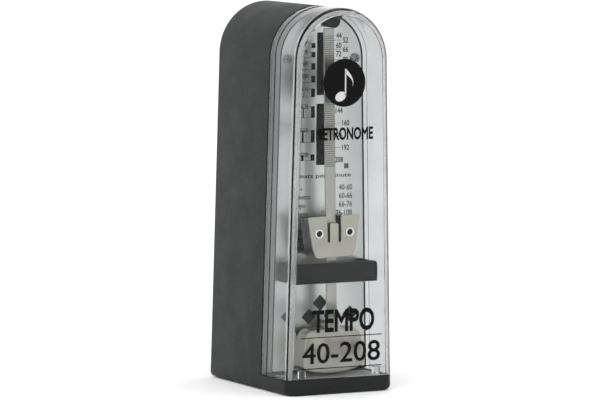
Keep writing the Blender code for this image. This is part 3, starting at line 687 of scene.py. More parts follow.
@dataclass
class Outline:
    """The arched outline shared by the case, the cover and the front panel.

    Both sides lean in; a circle touches both sides and the top.
    """

    height: float
    base_half: float
    lean: float = math.radians(1.34)

    @property
    def radius(self) -> float:
        """Radius of the arch."""
        return math.cos(self.lean) * self.half_width(self.height) / (1.0 - math.sin(self.lean))

    def half_width(self, z: float) -> float:
        """Half the width at a height."""
        return self.base_half - z * math.tan(self.lean)

    def loop(self, inset: float, floor: float, corner: float = 0.0, steps: int = 96) -> Array:
        """Return the outline in x and z, set in by an even distance.

        Args:
            inset: distance in from the outside.
            floor: level of its lower edge.
            corner: radius of the two lower corners.
            steps: facets round the arch.

        Returns:
            Counter-clockwise points.
        """
        radius = self.radius - inset
        side = self.half_width(floor) - inset / math.cos(self.lean)
        lean = math.degrees(self.lean)
        arch = arc((0.0, self.height - self.radius), radius, -lean, 180.0 + lean, steps)
        if corner <= 0.0:
            return np.vstack([[(side, floor)], arch, [(-side, floor)]])
        right = arc((side - corner, floor + corner), corner, -90.0, 0.0, 8)
        left = arc((corner - side, floor + corner), corner, 180.0, 270.0, 8)
        return np.vstack([right, arch, left])

    def rings(self, profile: Iterable[Sequence[float]], floor: Callable[[float], float],
              corner: float = 0.0) -> Array:
        """Place the outline at each (y, inset) of a profile.

        Args:
            profile: pairs of depth and inset.
            floor: level of the lower edge for an inset.
            corner: radius of the lower corners.

        Returns:
            Array of rings by points by 3.
        """
        return np.array([at_depth(self.loop(inset, floor(inset), corner), y) for y, inset in profile])


def quarter(y: float, inset: float, radius: float, forward: bool, steps: int = 8) -> Array:
    """Return (y, inset) pairs round an edge, from its face to its side.

    At angle a the pair is (y + radius (1 - cos a), inset + radius (1 - sin a)),
    or y minus that when the face looks back.
    """
    angles = np.linspace(0.0, math.pi / 2, steps + 1)
    sign = 1.0 if forward else -1.0
    depths = y + sign * radius * (1 - np.cos(angles))
    return np.stack([depths, inset + radius * (1 - np.sin(angles))], axis=-1)


# ------------------------------------------------------------------ case


@dataclass
class Case:
    """The grained case with the black plinth that carries the cover."""

    shop: Workshop
    shape: Outline
    parting: float
    front: float
    back: float
    foot: float
    plinth_top: float
    key_place: tuple[float, float]
    wall: float = 2.0 * MM
    low_corner: float = 2.0 * MM
    front_corner: float = 3.6 * MM
    rear_round: float = 2.2 * MM
    recess_top: float = 2.2 * MM
    lid_margin: float = 2.0 * MM
    floor_extra: float = 1.0 * MM
    key_hole_radius: float = 3.6 * MM

    def build(self) -> None:
        """Make the shell and the plinth."""
        paint = self.shop.palette
        self.shop.add("case_body", self.shell(), paint.case, Body.CASE, "case_plastic", ["case_shell"])
        self.shop.add("case_plinth", self.plinth(), paint.plinth, Body.CASE, "black_plastic", ["case_shell"])

    def shell(self) -> Surface:
        """Return the case: the arched outline carried from inside its back wall over its rim to its back.

        The lid's recess and the key's hole are taken out of it.
        """
        lip = 0.25 * MM
        profile = np.vstack([
            [(self.back - self.wall, self.wall), (self.parting, self.wall)],
            quarter(self.parting, 0.0, lip, True, 3),
            quarter(self.back, 0.0, self.rear_round, False)[::-1],
        ])
        rings = self.shape.rings(profile, self.floor, self.low_corner)
        return difference(difference(loft(rings), self.recess()), self.key_hole())

    def floor(self, inset: float) -> float:
        """Return the level of the shell's lower edge for an inset, thicker where it is the inside."""
        inside = self.wall <= inset < self.rear_round
        return self.foot + inset + (self.floor_extra if inside else 0.0)

    def recess(self) -> Surface:
        """Return the space under the case that the lid fills."""
        half = self.shape.half_width(self.foot) - self.lid_margin
        front, back = self.front + self.lid_margin, self.back - self.lid_margin
        below = -1.0 * MM
        return prism(rounded_rectangle((-half, front), (half, back), 1.0 * MM), below, self.recess_top)

    def key_hole(self) -> Surface:
        """Return the round hole in the right side that the key's stem passes through."""
        flat = arc(self.key_place, self.key_hole_radius, 0.0, 350.0, 35)
        inside, outside = 18.0 * MM, 30.0 * MM
        return loft(np.array([np.column_stack([np.full(len(flat), x), flat]) for x in (inside, outside)]))

    def plinth(self) -> Surface:
        """Return the plinth: its section across, carried back from a rounded front.

        The lid's recess is taken out of it.
        """
        rim = 0.35 * MM
        corner = quarter(self.front, 0.0, self.front_corner, True, 12)
        rings = [self.section(y, inset, rim) for y, inset in corner]
        rings.append(self.section(self.parting + 1.0 * MM, 0.0, rim))
        return difference(loft(np.array(rings)), self.recess())

    def section(self, y: float, inset: float, rim: float) -> Array:
        """Return one ring of the plinth: a flat bar with rounded lower and softened upper corners."""
        low = self.shape.half_width(self.foot) - inset
        high = self.shape.half_width(self.plinth_top) - inset
        corner = self.low_corner
        flat = np.vstack([
            arc((low - corner, self.foot + corner), corner, -90, 0, 8),
            arc((high - rim, self.plinth_top - rim), rim, 0, 90, 4),
            arc((rim - high, self.plinth_top - rim), rim, 90, 180, 4),
            arc((corner - low, self.foot + corner), corner, 180, 270, 8),
        ])
        return at_depth(flat, y)


# ------------------------------------------------------------------ cover


@dataclass
class Cover:
    """The clear cap over the front, with its rear bead, its lugs and its printing."""

    shop: Workshop
    shape: Outline
    front: float
    back: float
    floor: float
    wall: float = 1.6 * MM
    front_wall: float = 1.5 * MM
    corner: float = 3.6 * MM
    inner_corner: float = 1.2 * MM
    bead: float = 0.35 * MM
    groove: float = 0.3 * MM

    def build(self) -> None:
        """Make the cap and print its front."""
        paint = self.shop.palette
        cap, finish = self.cap()
        # the side walls take the darker clear finish, which is painted shade
        self.shop.add("clear_cap", cap, paint.clear, Body.COVER, "clear_plastic", ["cover"],
                      others=(paint.frosted, paint.clear_side), finish=finish)
        for side, sign in (("left", -1.0), ("right", 1.0)):
            self.shop.add(f"cover_lug_{side}", self.lug(sign), paint.clear, Body.COVER, "clear_plastic")
        for name, surface in self.prints():
            self.shop.add(name, surface, paint.ink, Body.COVER, "black_plastic", smooth=False)
        self.shop.add("cover_quaver", self.quaver(), paint.pale_ink, Body.COVER, "silver_plastic",
                      smooth=False)

    def lug(self, sign: float) -> Surface:
        """Return one of the two small lugs inside the cap's lower front corners."""
        behind = self.front + self.front_wall + 0.05 * MM
        middle = sign * 17.6 * MM
        outline = rounded_rectangle((middle - 1.6 * MM, self.floor + 0.3 * MM),
                                    (middle + 1.6 * MM, self.floor + 3.6 * MM), 0.5 * MM)
        return slab(outline, behind, behind + 1.4 * MM, 0.2 * MM)

    def cap(self) -> tuple[Surface, Array]:
        """Return the cap: the arch carried over a rounded front, back over the rear bead, and inside again.

        Its lower end is open, so the grid's two bottom edges close on one flat U.
        The second value numbers each face's finish: 1 on the rounded inner corner, 2 on the side walls, which
        carry a darker tint of the same clear plastic as painted shade.
        """
        step = self.bead
        outer = quarter(self.front, 0.0, self.corner, True, 14)
        rear = [
            (self.back - 7.6 * MM, 0.0), (self.back - 7.4 * MM, step),
            (self.back - 4.8 * MM, step), (self.back - 4.6 * MM, 0.0),
            (self.back - 2.4 * MM, 0.0), (self.back - 2.2 * MM, step),
            (self.back - 0.3 * MM, step), (self.back, 0.6 * MM), (self.back, self.wall),
        ]
        behind = self.front + self.front_wall
        edge = self.wall + self.inner_corner
        corner_steps = 10
        inner = np.vstack([
            quarter(behind, self.wall, self.inner_corner, True, corner_steps)[::-1],
            [(behind, edge + 0.1 * MM), (behind - self.groove, edge + 0.25 * MM),
             (behind, edge + 0.4 * MM)],
        ])
        rings = self.shape.rings(np.vstack([outer, rear, inner]), lambda inset: self.floor)
        rows, columns = rings.shape[:2]
        number = np.arange(rows * columns).reshape(rows, columns)
        quads = np.stack([number[:-1, :-1], number[:-1, 1:], number[1:, 1:], number[1:, :-1]], axis=-1)
        ends = [number[0, ::-1].tolist(), number[-1].tolist(),
                np.concatenate([number[:, 0], number[::-1, -1]]).tolist()]
        row = np.arange(rows - 1)
        corner_start = len(outer) + len(rear)
        corner_rows = (row >= corner_start) & (row < corner_start + corner_steps)
        # rows of the side walls, which get the darker tint as painted shade
        painted_shade_rows = (row >= len(outer) - 1) & (row < corner_start)
        finish = np.where(corner_rows, 1, np.where(painted_shade_rows, 2, 0))
        finish = np.concatenate([np.repeat(finish, columns - 1), np.zeros(len(ends), dtype=int)])
        return Surface(rings.reshape(-1, 3), quads.reshape(-1, 4).tolist() + ends), finish

    def prints(self) -> Iterable[tuple[str, Surface]]:
        """Yield the name and the surface of each black print, just proud of the front face."""
        plane = self.front - 0.02 * MM
        disc = lathe([(0.0, 0.0), (9.9 * MM, 0.0), (9.9 * MM, -0.04 * MM), (0.0, -0.04 * MM)], 96)
        yield "cover_roundel", shift(disc, 0.4 * MM, plane, 129.2 * MM)
        yield "cover_name", lettering("METRONOME", 5.2 * MM, (0.7 * MM, plane, 108.2 * MM),
                                      width=27.0 * MM, weight=0.034)
        yield "cover_word_upper", lettering("TEMPO", 9.4 * MM, (0.9 * MM, plane, 30.7 * MM),
                                            width=29.6 * MM, weight=0.03)
        yield "cover_word_lower", lettering("40-208", 8.4 * MM, (0.1 * MM, plane, 17.4 * MM),
                                            width=37.0 * MM, weight=0.012)
        for name, z in (("cover_rule_upper", 24.0), ("cover_rule_lower", 11.1)):
            yield name, bar((-19.1 * MM, (z - 0.2) * MM), (19.1 * MM, (z + 0.2) * MM), plane)

    def quaver(self) -> Surface:
        """Return a plain quaver, to be printed pale on the roundel: a head, a stem and a flag."""
        plane = self.front - 0.08 * MM
        turn = math.radians(24.0)
        c, s = math.cos(turn), math.sin(turn)
        angles = np.linspace(0.0, math.tau, 48, endpoint=False)
        wide, tall = 2.6 * MM, 1.9 * MM
        u, v = wide * np.cos(angles), tall * np.sin(angles)
        head = np.stack([u * c - v * s, u * s + v * c], axis=-1)
        head += np.array([-1.0, 124.6]) * MM
        stem_x, stem_top = 1.0 * MM, 136.0 * MM
        stem = np.array([(stem_x, 125.0 * MM), (stem_x + 0.6 * MM, 125.0 * MM), (stem_x + 0.6 * MM, stem_top),
                         (stem_x, stem_top)])
        along = np.linspace(0.0, 1.0, 16)
        upper = np.stack([stem_x + 0.5 * MM + 3.4 * MM * np.sin(along * math.pi * 0.62),
                          stem_top - 7.0 * MM * along], axis=-1)
        lower = upper[::-1] + np.array([-0.2 * MM, -0.1 * MM])
        lower[:, 1] -= 1.9 * MM * (1.0 - along[::-1])
        flag = np.vstack([lower, upper])
        thin = 0.03 * MM
        parts = [slab(loop, plane - thin, plane) for loop in (head, stem, flag[::-1])]
        return shift(joined(parts), x=-0.4 * MM, z=-1.0 * MM)


def bar(low: Sequence[float], high: Sequence[float], plane: float, depth: float = INK_DEPTH) -> Surface:
    """Return a printed bar between two corners in x and z, proud of a plane that faces -y."""
    return box((low[0], plane - depth, low[1]), (high[0], plane, high[1]))


# ------------------------------------------------------------------ front panel


@dataclass
class FrontPanel:
    """The inner frame with its tray, its dark edge line of painted shade, its dark sheet of painted shade
    behind the holes, and the screws of the scale plate.
    """

    shop: Workshop
    shape: Outline
    rim_front: float
    floor_front: float
    plate_front: float
    low: float
    screws: Sequence[tuple[float, float]]
    pivot: float
    flange: float = -10.7 * MM
    rim_outside: float = 3.1 * MM
    low_corner: float = 0.6 * MM

    def build(self) -> None:
        """Make the frame, its tray, the painted shade of its edge line and of the sheet behind the holes,
        dress the plate, and make the screws.
        """
        paint = self.shop.palette
        self.shop.add("panel_frame", self.moulding(), paint.frame, Body.CASE, "silver_plastic",
                      ["front_frame"])
        self.shop.add("panel_tray", self.tray(), paint.frame, Body.CASE, "silver_plastic")
        # painted shade: a dark line on the rim where the plate meets the frame
        self.shop.add("panel_line", self.line(), paint.ink, Body.CASE, "black_plastic", smooth=False)
        self.shop.dress(paint.plate, "scale_plate")
        # painted shade: a dark sheet so that the holes in the plate read dark
        self.shop.add("sound_gauze", self.gauze(), paint.rubber, Body.CASE, "rubber")
        screw = self.screw()
        for side, (x, z) in zip(("left", "right"), self.screws):
            placed = shift(screw, x, self.plate_front - 0.3 * MM, z)
            self.shop.add(f"plate_screw_head_{side}", placed, paint.screw_steel, Body.CASE, "steel",
                          [f"plate_screw_{side}"])

    def screw(self) -> Surface:
        """Return a cross-headed screw whose seat is the plane y = 0, with its shank behind."""
        near, far, radius = 0.02 * MM, 3.2 * MM, 0.85 * MM
        shank = lathe([(0.0, near), (radius, near), (radius, far), (0.0, far)], 24)
        return joined([cross_head(2.0 * MM), shank])

    def floor(self, inset: float) -> float:
        """Return the level of the frame's lower edge for an inset."""
        return self.low + inset - self.rim_outside

    def moulding(self) -> Surface:
        """Return the frame: a rounded rim round the plate's bed, and a flange that fills the case's mouth.

        The arbor's hole is taken out of it.
        """
        bend = 0.15 * MM
        inner, outer = 3.45 * MM, self.rim_outside
        mouth, hollow = 2.3 * MM, 4.9 * MM
        flange_back = self.flange + 1.7 * MM
        profile = [
            (self.floor_front, 4.4 * MM), (self.floor_front, inner), (self.rim_front + bend, inner),
            (self.rim_front, inner - bend), (self.rim_front, outer + bend), (self.rim_front + bend, outer),
            (self.flange, outer), (self.flange, mouth), (flange_back, mouth),
            (flange_back, hollow), (self.floor_front + 1.6 * MM, hollow),
        ]
        solid = loft(self.shape.rings(profile, self.floor, self.low_corner))
        hole = round_bar(2.2 * MM, self.floor_front - 1.0 * MM, self.floor_front + 3.0 * MM, self.pivot)
        return difference(solid, hole)

    def tray(self) -> Surface:
        """Return the thin silver tray on the plinth, from the panel's foot to the cover's front."""
        half = 20.6 * MM
        front, back = self.plate_front - 16.2 * MM, self.plate_front - 0.3 * MM
        return prism(rounded_rectangle((-half, front), (half, back), 1.2 * MM), 6.53 * MM, 6.75 * MM)

    def gauze(self) -> Surface:
        """Return a dark sheet behind the plate's sound holes, in the gap behind the plate: painted shade seen
        through the holes.
        """
        outline = rounded_rectangle((-18.0 * MM, 26.0 * MM), (18.0 * MM, 41.0 * MM), 2.0 * MM)
        behind = self.plate_front + 0.65 * MM
        return slab(outline, behind, behind + 0.2 * MM)

    def line(self) -> Surface:
        """Return the dark line round the rim, as a flat ring: painted shade in the gap where the plate meets
        the rim.
        """
        plane = self.rim_front
        near, far = 3.04 * MM, 3.62 * MM
        profile = [(plane - 0.01 * MM, near), (plane - 0.06 * MM, near),
                   (plane - 0.06 * MM, far), (plane - 0.01 * MM, far)]
        return loft(self.shape.rings(profile, self.floor, self.low_corner), wrap_rows=True)


def cross_head(radius: float, rise: float = 0.0008, steps: int = 96, rows: int = 36) -> Surface:
    """Return a screw head that faces -y, domed, with a cross pressed into it.

    Over a polar grid the dome's height is rise (1 - (r/R)^2 / 1.6), and the cross
    takes away a depth that falls off smoothly across each arm and along it.

    Args:
        radius: outer radius.
        rise: height of the dome over its seat.
        steps: facets round it.
        rows: rings from the middle to the rim.

    Returns:
        A closed surface whose seat is the plane y = 0.
    """
    r = radius * np.linspace(1e-4, 1.0, rows)[:, None]
    angle = np.linspace(0.0, math.tau, steps, endpoint=False)[None, :] + 0.4
    x, z = r * np.cos(angle - 0.4), r * np.sin(angle - 0.4)
    u, v = np.abs(r * np.cos(angle)), np.abs(r * np.sin(angle))
    across, along = np.minimum(u, v) / radius, np.maximum(u, v) / radius
    arm = 1.0 / (1.0 + np.exp((across - 0.15) / 0.015)) / (1.0 + np.exp((along - 0.62) / 0.02))
    height = rise * (1.0 - (r / radius) ** 2 / 1.6) - 0.7 * rise * arm
    top = np.stack([x, -height, z], axis=-1)
    seat = top[-1].copy()
    seat[:, 1] = 0.0
    return loft(np.concatenate([top, seat[None]]))


# ------------------------------------------------------------------ scale


@dataclass(frozen=True)
class TempoLaw:
    """Where the weight stands for a tempo.

    A rod with a bob below and a weight at height h above the pivot beats with
    tempo squared = pull (reach - h) / (inertia + h^2), all in millimetres.
    """

    pull: float = 5.25355e6
    reach: float = 102.724
    inertia: float = 4816.24

    def height(self, tempo: float) -> float:
        """Return the height above the pivot in metres: the positive root of the law."""
        square = tempo**2
        inside = self.pull**2 - 4.0 * square * (square * self.inertia - self.pull * self.reach)
        return (math.sqrt(inside) - self.pull) / (2.0 * square) * MM


@dataclass
class Scale:
    """The printing on the scale plate: bars, ladders, ticks, numbers and the table of tempo words."""

    shop: Workshop
    plane: float
    pivot: float
    law: TempoLaw = field(default_factory=TempoLaw)
    half_line: float = 0.07 * MM
    right: Sequence[int] = (44, 52, 60, 66, 72, 80, 88, 96, 104, 112, 120, 132, 144, 160, 176, 192, 208)
    left: Sequence[tuple[int, int]] = ((56, 63), (69, 76), (84, 92), (100, 108), (116, 126), (138, 152),
                                       (168, 184), (200, 208))
    words: Sequence[tuple[str, str]] = (
        ("Largo", "40-60"), ("Larghetto", "60-66"), ("Adagio", "66-76"), ("Andante", "76-108"),
        ("Moderato", "108-120"), ("Allegro", "120-168"), ("Presto", "168-200"), ("Prestissimo", "200-208"))

    def build(self) -> None:
        """Print every group as one piece of ink."""
        paint = self.shop.palette
        for name, parts in (
            ("scale_middle_bars", self.middle_bars()),
            ("scale_ladders", self.ladders()),
            ("scale_ticks", self.ticks()),
            ("scale_numbers_right", self.right_numbers()),
            ("scale_numbers_left", self.left_numbers()),
            ("scale_table", self.table()),
        ):
            self.shop.add(name, joined(list(parts)), paint.ink, Body.CASE, "black_plastic", smooth=False)
        square = bar((10.7 * MM, 92.0 * MM), (12.8 * MM, 94.1 * MM), self.plane)
        self.shop.add("scale_square", square, paint.grey_ink, Body.CASE, "black_plastic", smooth=False)

    def at(self, tempo: float) -> float:
        """Return the level on the plate of a tempo."""
        return self.pivot + self.law.height(tempo)

    def line(self, left: float, right: float, level: float) -> Surface:
        """Return a thin level line; its ends are in millimetres."""
        return bar((left * MM, level - self.half_line), (right * MM, level + self.half_line), self.plane)

    def middle_bars(self) -> Iterable[Surface]:
        """Yield the two broad bars behind the rod."""
        for low, high in ((93.8, 119.4), (123.0, 148.9)):
            yield bar((-2.4 * MM, low * MM), (1.6 * MM, high * MM), self.plane)

    def ladders(self) -> Iterable[Surface]:
        """Yield the two columns of squares at the left, and a thin line at each end of a square."""
        for fast_end, slow_end in ((self.at(b), self.at(a)) for a, b in self.left):
            for x0, x1 in ((-5.0, -3.2), (-10.6, -8.3)):
                yield bar((x0 * MM, fast_end), (x1 * MM, slow_end), self.plane)
            yield self.line(-10.6, -3.2, fast_end)
            for x0, x1 in ((-10.6, -8.9), (-6.3, -3.2)):
                yield self.line(x0, x1, slow_end)

    def ticks(self) -> Iterable[Surface]:
        """Yield the thin line from the middle bar to each number at the right."""
        for number, tempo in enumerate(self.right):
            yield self.line(2.1, (6.0, 9.0)[number % 2], self.at(tempo))

    def right_numbers(self) -> Iterable[Surface]:
        """Yield the numbers at the right, in two columns by turns."""
        for number, tempo in enumerate(self.right):
            x = (6.5, 9.7)[number % 2] * MM
            yield lettering(str(tempo), 2.3 * MM, (x, self.plane, self.at(tempo)), Align.LEFT,
                            narrow=0.78, weight=0.016)

    def left_numbers(self) -> Iterable[Surface]:
        """Yield the numbers between the two ladders."""
        for tempo, _ in self.left:
            yield lettering(str(tempo), 1.9 * MM, (-7.6 * MM, self.plane, self.at(tempo)),
                            narrow=0.7, weight=0.01)

    def table(self) -> Iterable[Surface]:
        """Yield the heading and the rows of tempo words with their ranges."""
        yield lettering("Beats per minute", 1.7 * MM, (14.0 * MM, self.plane, 89.4 * MM), Align.RIGHT,
                        width=25.6 * MM, weight=0.01)
        for row, (word, span) in enumerate(self.words):
            level = (84.2 - 3.55 * row) * MM
            yield lettering(word, 2.0 * MM, (-14.0 * MM, self.plane, level), Align.LEFT,
                            narrow=0.82, weight=0.01)
            yield lettering(span, 2.3 * MM, (14.6 * MM, self.plane, level), Align.RIGHT,
                            narrow=0.82, weight=0.008)


# ------------------------------------------------------------------ pendulum


@dataclass
class Swing:
    """The pendulum's own axes: x across the rod, z up along it, about the pivot."""

    pivot: Vector
    tilt: float

    def place(self, points: Array) -> Array:
        """Turn points about the y axis by the tilt and lift them to the pivot.

        x becomes x cos t + z sin t and z becomes z cos t - x sin t.
        """
        c, s = math.cos(self.tilt), math.sin(self.tilt)
        x, y, z = points.T
        return np.stack([x * c + z * s + self.pivot.x, y, z * c - x * s + self.pivot.z], axis=-1)


@dataclass
class Pendulum:
    """The notched rod with the heavy bob at its foot."""

    shop: Workshop
    swing: Swing
    rod_half: float = 2.4 * MM
    rod_front: float = -25.8 * MM
    rod_back: float = -25.0 * MM
    rod_low: float = -19.9 * MM
    rod_high: float = 101.2 * MM
    notch_low: float = 43.8 * MM
    notch_high: float = 98.9 * MM
    notch_pitch: float = 0.885 * MM
    notch_depth: float = 0.16 * MM
    bob_front: float = -27.0 * MM
    bob_back: float = -19.4 * MM
    bob_radius: float = 42.4 * MM
    bob_top: float = -23.6 * MM
    bob_low_half: float = 14.6 * MM
    bob_high_half: float = 13.2 * MM
    bob_round: float = 4.6 * MM

    def build(self) -> None:
        """Make the rod, the painted shade in its notches and the bob, and dress the parts on the pivot."""
        paint = self.shop.palette
        place = self.swing.place
        self.shop.add("notched_rod", self.rod().moved(place), paint.rod, Body.PENDULUM, "nickel",
                      ["pendulum_rod"])
        # dark bars painted in the notches as shade
        self.shop.add("notch_lines", self.notch_lines().moved(place), paint.grey_ink, Body.PENDULUM, "steel",
                      smooth=False)
        self.shop.add("bob", self.bob().moved(place), paint.nickel, Body.PENDULUM, "nickel", ["pendulum_bob"])
        self.shop.dress(paint.brass, "pendulum_hub")
        self.shop.dress(paint.steel, "pendulum_arbor", "pallets")

    def rod(self) -> Surface:
        """Return the rod as sections stacked along z, its front stepped in at each notch.

        Between notches the front is flat; a notch is a narrow trapezium one fifth
        of the pitch wide.
        """
        count = int((self.notch_high - self.notch_low) / self.notch_pitch)
        starts = self.notch_low + self.notch_pitch * np.arange(count)[:, None]
        steps = self.notch_pitch * np.array([0.0, 0.06, 0.26, 0.32])
        levels = (starts + steps).ravel()
        depths = np.tile([0.0, self.notch_depth, self.notch_depth, 0.0], count)
        levels = np.concatenate([[self.rod_low, self.rod_low + 0.2 * MM], levels,
                                 [self.rod_high - 0.2 * MM, self.rod_high]])
        depths = np.concatenate([[0.15 * MM, 0.0], depths, [0.0, 0.15 * MM]])
        edge = 0.12 * MM
        half = np.full(len(levels), self.rod_half)
        half[[0, -1]] -= 0.15 * MM
        front, back = self.rod_front + depths, np.full(len(levels), self.rod_back)
        x = np.stack([-half, -half + edge, half - edge, half, half, -half], axis=-1)
        y = np.stack([front + edge, front, front, front + edge, back, back], axis=-1)
        z = np.broadcast_to(levels[:, None], x.shape)
        return loft(np.stack([x, y, z], axis=-1))

    def notch_lines(self) -> Surface:
        """Return painted shade on the floor of every notch, as thin dark bars across the rod."""
        floor = self.rod_front + self.notch_depth
        half = self.rod_half - 0.15 * MM
        count = int((self.notch_high - self.notch_low) / self.notch_pitch)
        lows = self.notch_low + self.notch_pitch * (np.arange(count) + 0.05)
        thick = 0.25 * self.notch_pitch
        return joined([bar((-half, low), (half, low + thick), floor, 0.06 * MM) for low in lows])

    def bob(self) -> Surface:
        """Return the bob: an arc about the pivot below, rounded shoulders above, and a short neck."""
        reach = math.degrees(math.asin(self.bob_low_half / self.bob_radius))
        low = arc((0.0, 0.0), self.bob_radius, -90.0 - reach, -90.0 + reach, 48)[2:-2]
        low_corner = 1.6 * MM
        side = np.array([(self.bob_low_half - 0.15 * MM, low[-1][1] + low_corner)])
        cx, cz = self.bob_high_half - self.bob_round, self.bob_top - self.bob_round
        right = arc((cx, cz), self.bob_round, 0.0, 90.0, 12)
        neck = np.array([(4.2, 0.0), (3.0, 0.9), (2.6, 3.4), (-2.6, 3.4), (-3.0, 0.9), (-4.2, 0.0)]) * MM
        neck[:, 1] += self.bob_top
        left = arc((-cx, cz), self.bob_round, 90.0, 180.0, 12)
        outline = np.vstack([low, side, right, neck, left, side * np.array([-1.0, 1.0])])
        return slab(outline, self.bob_front, self.bob_back, 0.55 * MM, 5)


@dataclass
class Weight:
    """The sliding weight: a slotted front sheet with eyelets, a folded clip behind it, and its spring."""

    shop: Workshop
    swing: Swing
    top: float
    front: float = -28.6 * MM
    sheet_depth: float = 0.9 * MM
    back: float = -19.7 * MM
    fold: float = 0.9 * MM
    eyelet: tuple[float, float] = (7.2 * MM, -7.1 * MM)

    def build(self) -> None:
        """Make the sheet, the clip and the eyelets, and dress the spring."""
        paint = self.shop.palette
        self.shop.add("weight_face", self.lifted(self.face()), paint.nickel, Body.WEIGHT, "nickel",
                      ["weight_plate"])
        # the clip is the same nickel as the face, painted darker as shade
        self.shop.add("weight_fold", self.lifted(self.clip()), paint.dark_steel, Body.WEIGHT, "nickel",
                      ["weight_clip"])
        for side, sign in (("left", -1.0), ("right", 1.0)):
            ring = shift(self.ring(), sign * self.eyelet[0], 0.0, self.eyelet[1])
            self.shop.add(f"eyelet_{side}", self.lifted(ring), paint.bright_steel, Body.WEIGHT, "nickel",
                          [f"weight_eyelet_{side}"])
        self.shop.dress(paint.steel, "weight_spring")

    def lifted(self, surface: Surface) -> Surface:
        """Lift a surface from the weight's own axes to its place on the rod."""
        return shift(surface, z=self.top).moved(self.swing.place)

    def face(self) -> Surface:
        """Return the slotted sheet, with a hole for each eyelet."""
        slot_end = arc((2.6, -10.4), 0.6, 0.0, -180.0, 8)
        right = np.vstack([
            [(8.0, -17.2)], arc((7.6, -15.6), 1.6, -72.0, -20.0, 5), [(10.15, -13.6)], [(12.0, -0.9)],
            arc((11.6, -0.5), 0.5, 0.0, 90.0, 4), [(3.9, 0.0)], arc((3.9, -0.7), 0.7, 90.0, 180.0, 4),
            slot_end, [(2.0, -4.0)], arc((1.5, -3.6), 0.5, 0.0, 90.0, 4),
        ])
        left = right[::-1] * np.array([-1.0, 1.0])
        outline = np.vstack([right, left]) * MM
        holes = [
            arc((sign * self.eyelet[0], self.eyelet[1]), 1.45 * MM, 0.0, 360.0 * 31 / 32, 31)
            for sign in (-1.0, 1.0)
        ]
        return sheet(outline, holes, self.front, self.front + self.sheet_depth, 0.18 * MM)

    def clip(self) -> Surface:
        """Return the clip: a U-shaped section whose sides lean in with the sheet's edge, carried down."""
        levels = np.array([-0.9, -14.2, -15.6, -16.8]) * MM
        halves = np.array([11.7, 9.75, 9.2, 8.0]) * MM
        front, back, t, bend = self.front + 1.0 * MM, self.back, self.fold, 1.3 * MM
        rings = []
        for z, half in zip(levels, halves):
            outer = arc((half - bend, back - bend), bend, 0.0, 90.0, 6)
            inner = arc((half - bend, back - bend), bend - t, 90.0, 0.0, 6)
            right = np.vstack([[(half, front)], outer])
            left = right[::-1] * np.array([-1.0, 1.0])
            in_right = np.vstack([inner, [(half - t, front)]])
            in_left = in_right[::-1] * np.array([-1.0, 1.0])
            loop = np.vstack([right, left, in_left, in_right])
            rings.append(at_level(loop, z))
        return loft(np.array(rings))

    def ring(self) -> Surface:
        """Return an eyelet: a rolled ring in front of the sheet with a tube through it."""
        f = self.front
        roll = arc((1.62 * MM, f - 0.05 * MM), 0.42 * MM, 0.0, -180.0, 10)
        tube = [(1.2 * MM, f + 1.4 * MM), (1.42 * MM, f + 1.4 * MM), (1.42 * MM, f - 0.02 * MM)]
        return lathe(np.vstack([roll, tube]), 48, ring=True)


# ------------------------------------------------------------------ bridge, catch and key


@dataclass
class Bridge:
    """The black bridge that spans the plate in front of the pivot."""

    shop: Workshop
    front: float
    back: float
    low: float
    high: float
    half: float
    pivot: float
    leg: float = 3.0 * MM
    bar_depth: float = 2.6 * MM

    def build(self) -> None:
        """Make the bridge, and dress its screws."""
        paint = self.shop.palette
        self.shop.add("bridge_bar", self.bar(), paint.black, Body.CASE, "black_plastic", ["pivot_bridge"])
        self.shop.dress(paint.steel, "bridge_screw_left", "bridge_screw_right")

    def bar(self) -> Surface:
        """Return the bridge: its U-shaped plan stacked up z, set in by a round at its top and its foot.

        A shallow groove runs round it near its foot, and the bevel at its top is wider than the one below.
        A blind bore behind takes the arbor's end.
        """
        plan = self.plan()
        levels = [
            (self.low, 0.45 * MM), (self.low + 0.12 * MM, 0.2 * MM), (self.low + 0.4 * MM, 0.0),
            (self.low + 1.05 * MM, 0.0), (self.low + 1.15 * MM, 0.16 * MM), (self.low + 1.35 * MM, 0.16 * MM),
            (self.low + 1.45 * MM, 0.0), (self.high - 1.25 * MM, 0.0), (self.high - 0.35 * MM, 0.5 * MM),
            (self.high - 0.1 * MM, 0.62 * MM), (self.high, 0.85 * MM),
        ]
        rings = [at_level(inset_loop(plan, inset), z) for z, inset in levels]
        bore_end = self.front + 1.0 * MM
        bearing = round_bar(1.5 * MM, bore_end, bore_end + self.bar_depth, self.pivot)
        return difference(loft(np.array(rings)), bearing)

    def plan(self) -> Array:
        """Return the plan in x and y, counter-clockwise, with rounded front corners."""
        bend = 1.0 * MM
        left_front = arc((bend - self.half, self.front + bend), bend, 180.0, 270.0, 6)
        right_front = arc((self.half - bend, self.front + bend), bend, 270.0, 360.0, 6)
        inner, deep = self.half - self.leg, self.front + self.bar_depth
        legs = [(self.half, self.back), (inner, self.back), (inner, deep),
                (-inner, deep), (-inner, self.back), (-self.half, self.back)]
        return np.vstack([left_front, right_front, legs])


@dataclass
class Catch:
    """The dark hook over the rod's tip."""

    shop: Workshop
    front: float
    back: float
    low: float
    high: float

    def build(self) -> None:
        """Make the hook."""
        self.shop.add("tip_catch", self.hook(), self.shop.palette.black, Body.CASE, "black_plastic",
                      ["rod_catch"])

    def hook(self) -> Surface:
        """Return the hook: a D lying on its side, fuller at its right end, with rounded rims."""
        top, low = self.high, self.low - 0.7 * MM
        belly = arc((-0.6 * MM, low + 2.9 * MM), 2.9 * MM, -100.0, 0.0, 12)
        left = arc((-2.6 * MM, low + 2.6 * MM), 1.6 * MM, 150.0, 235.0, 6)
        outline = np.vstack([belly, [(2.3 * MM, top), (-4.0 * MM, top)], left])
        return slab(outline, self.front, self.back, 0.4 * MM, 4)


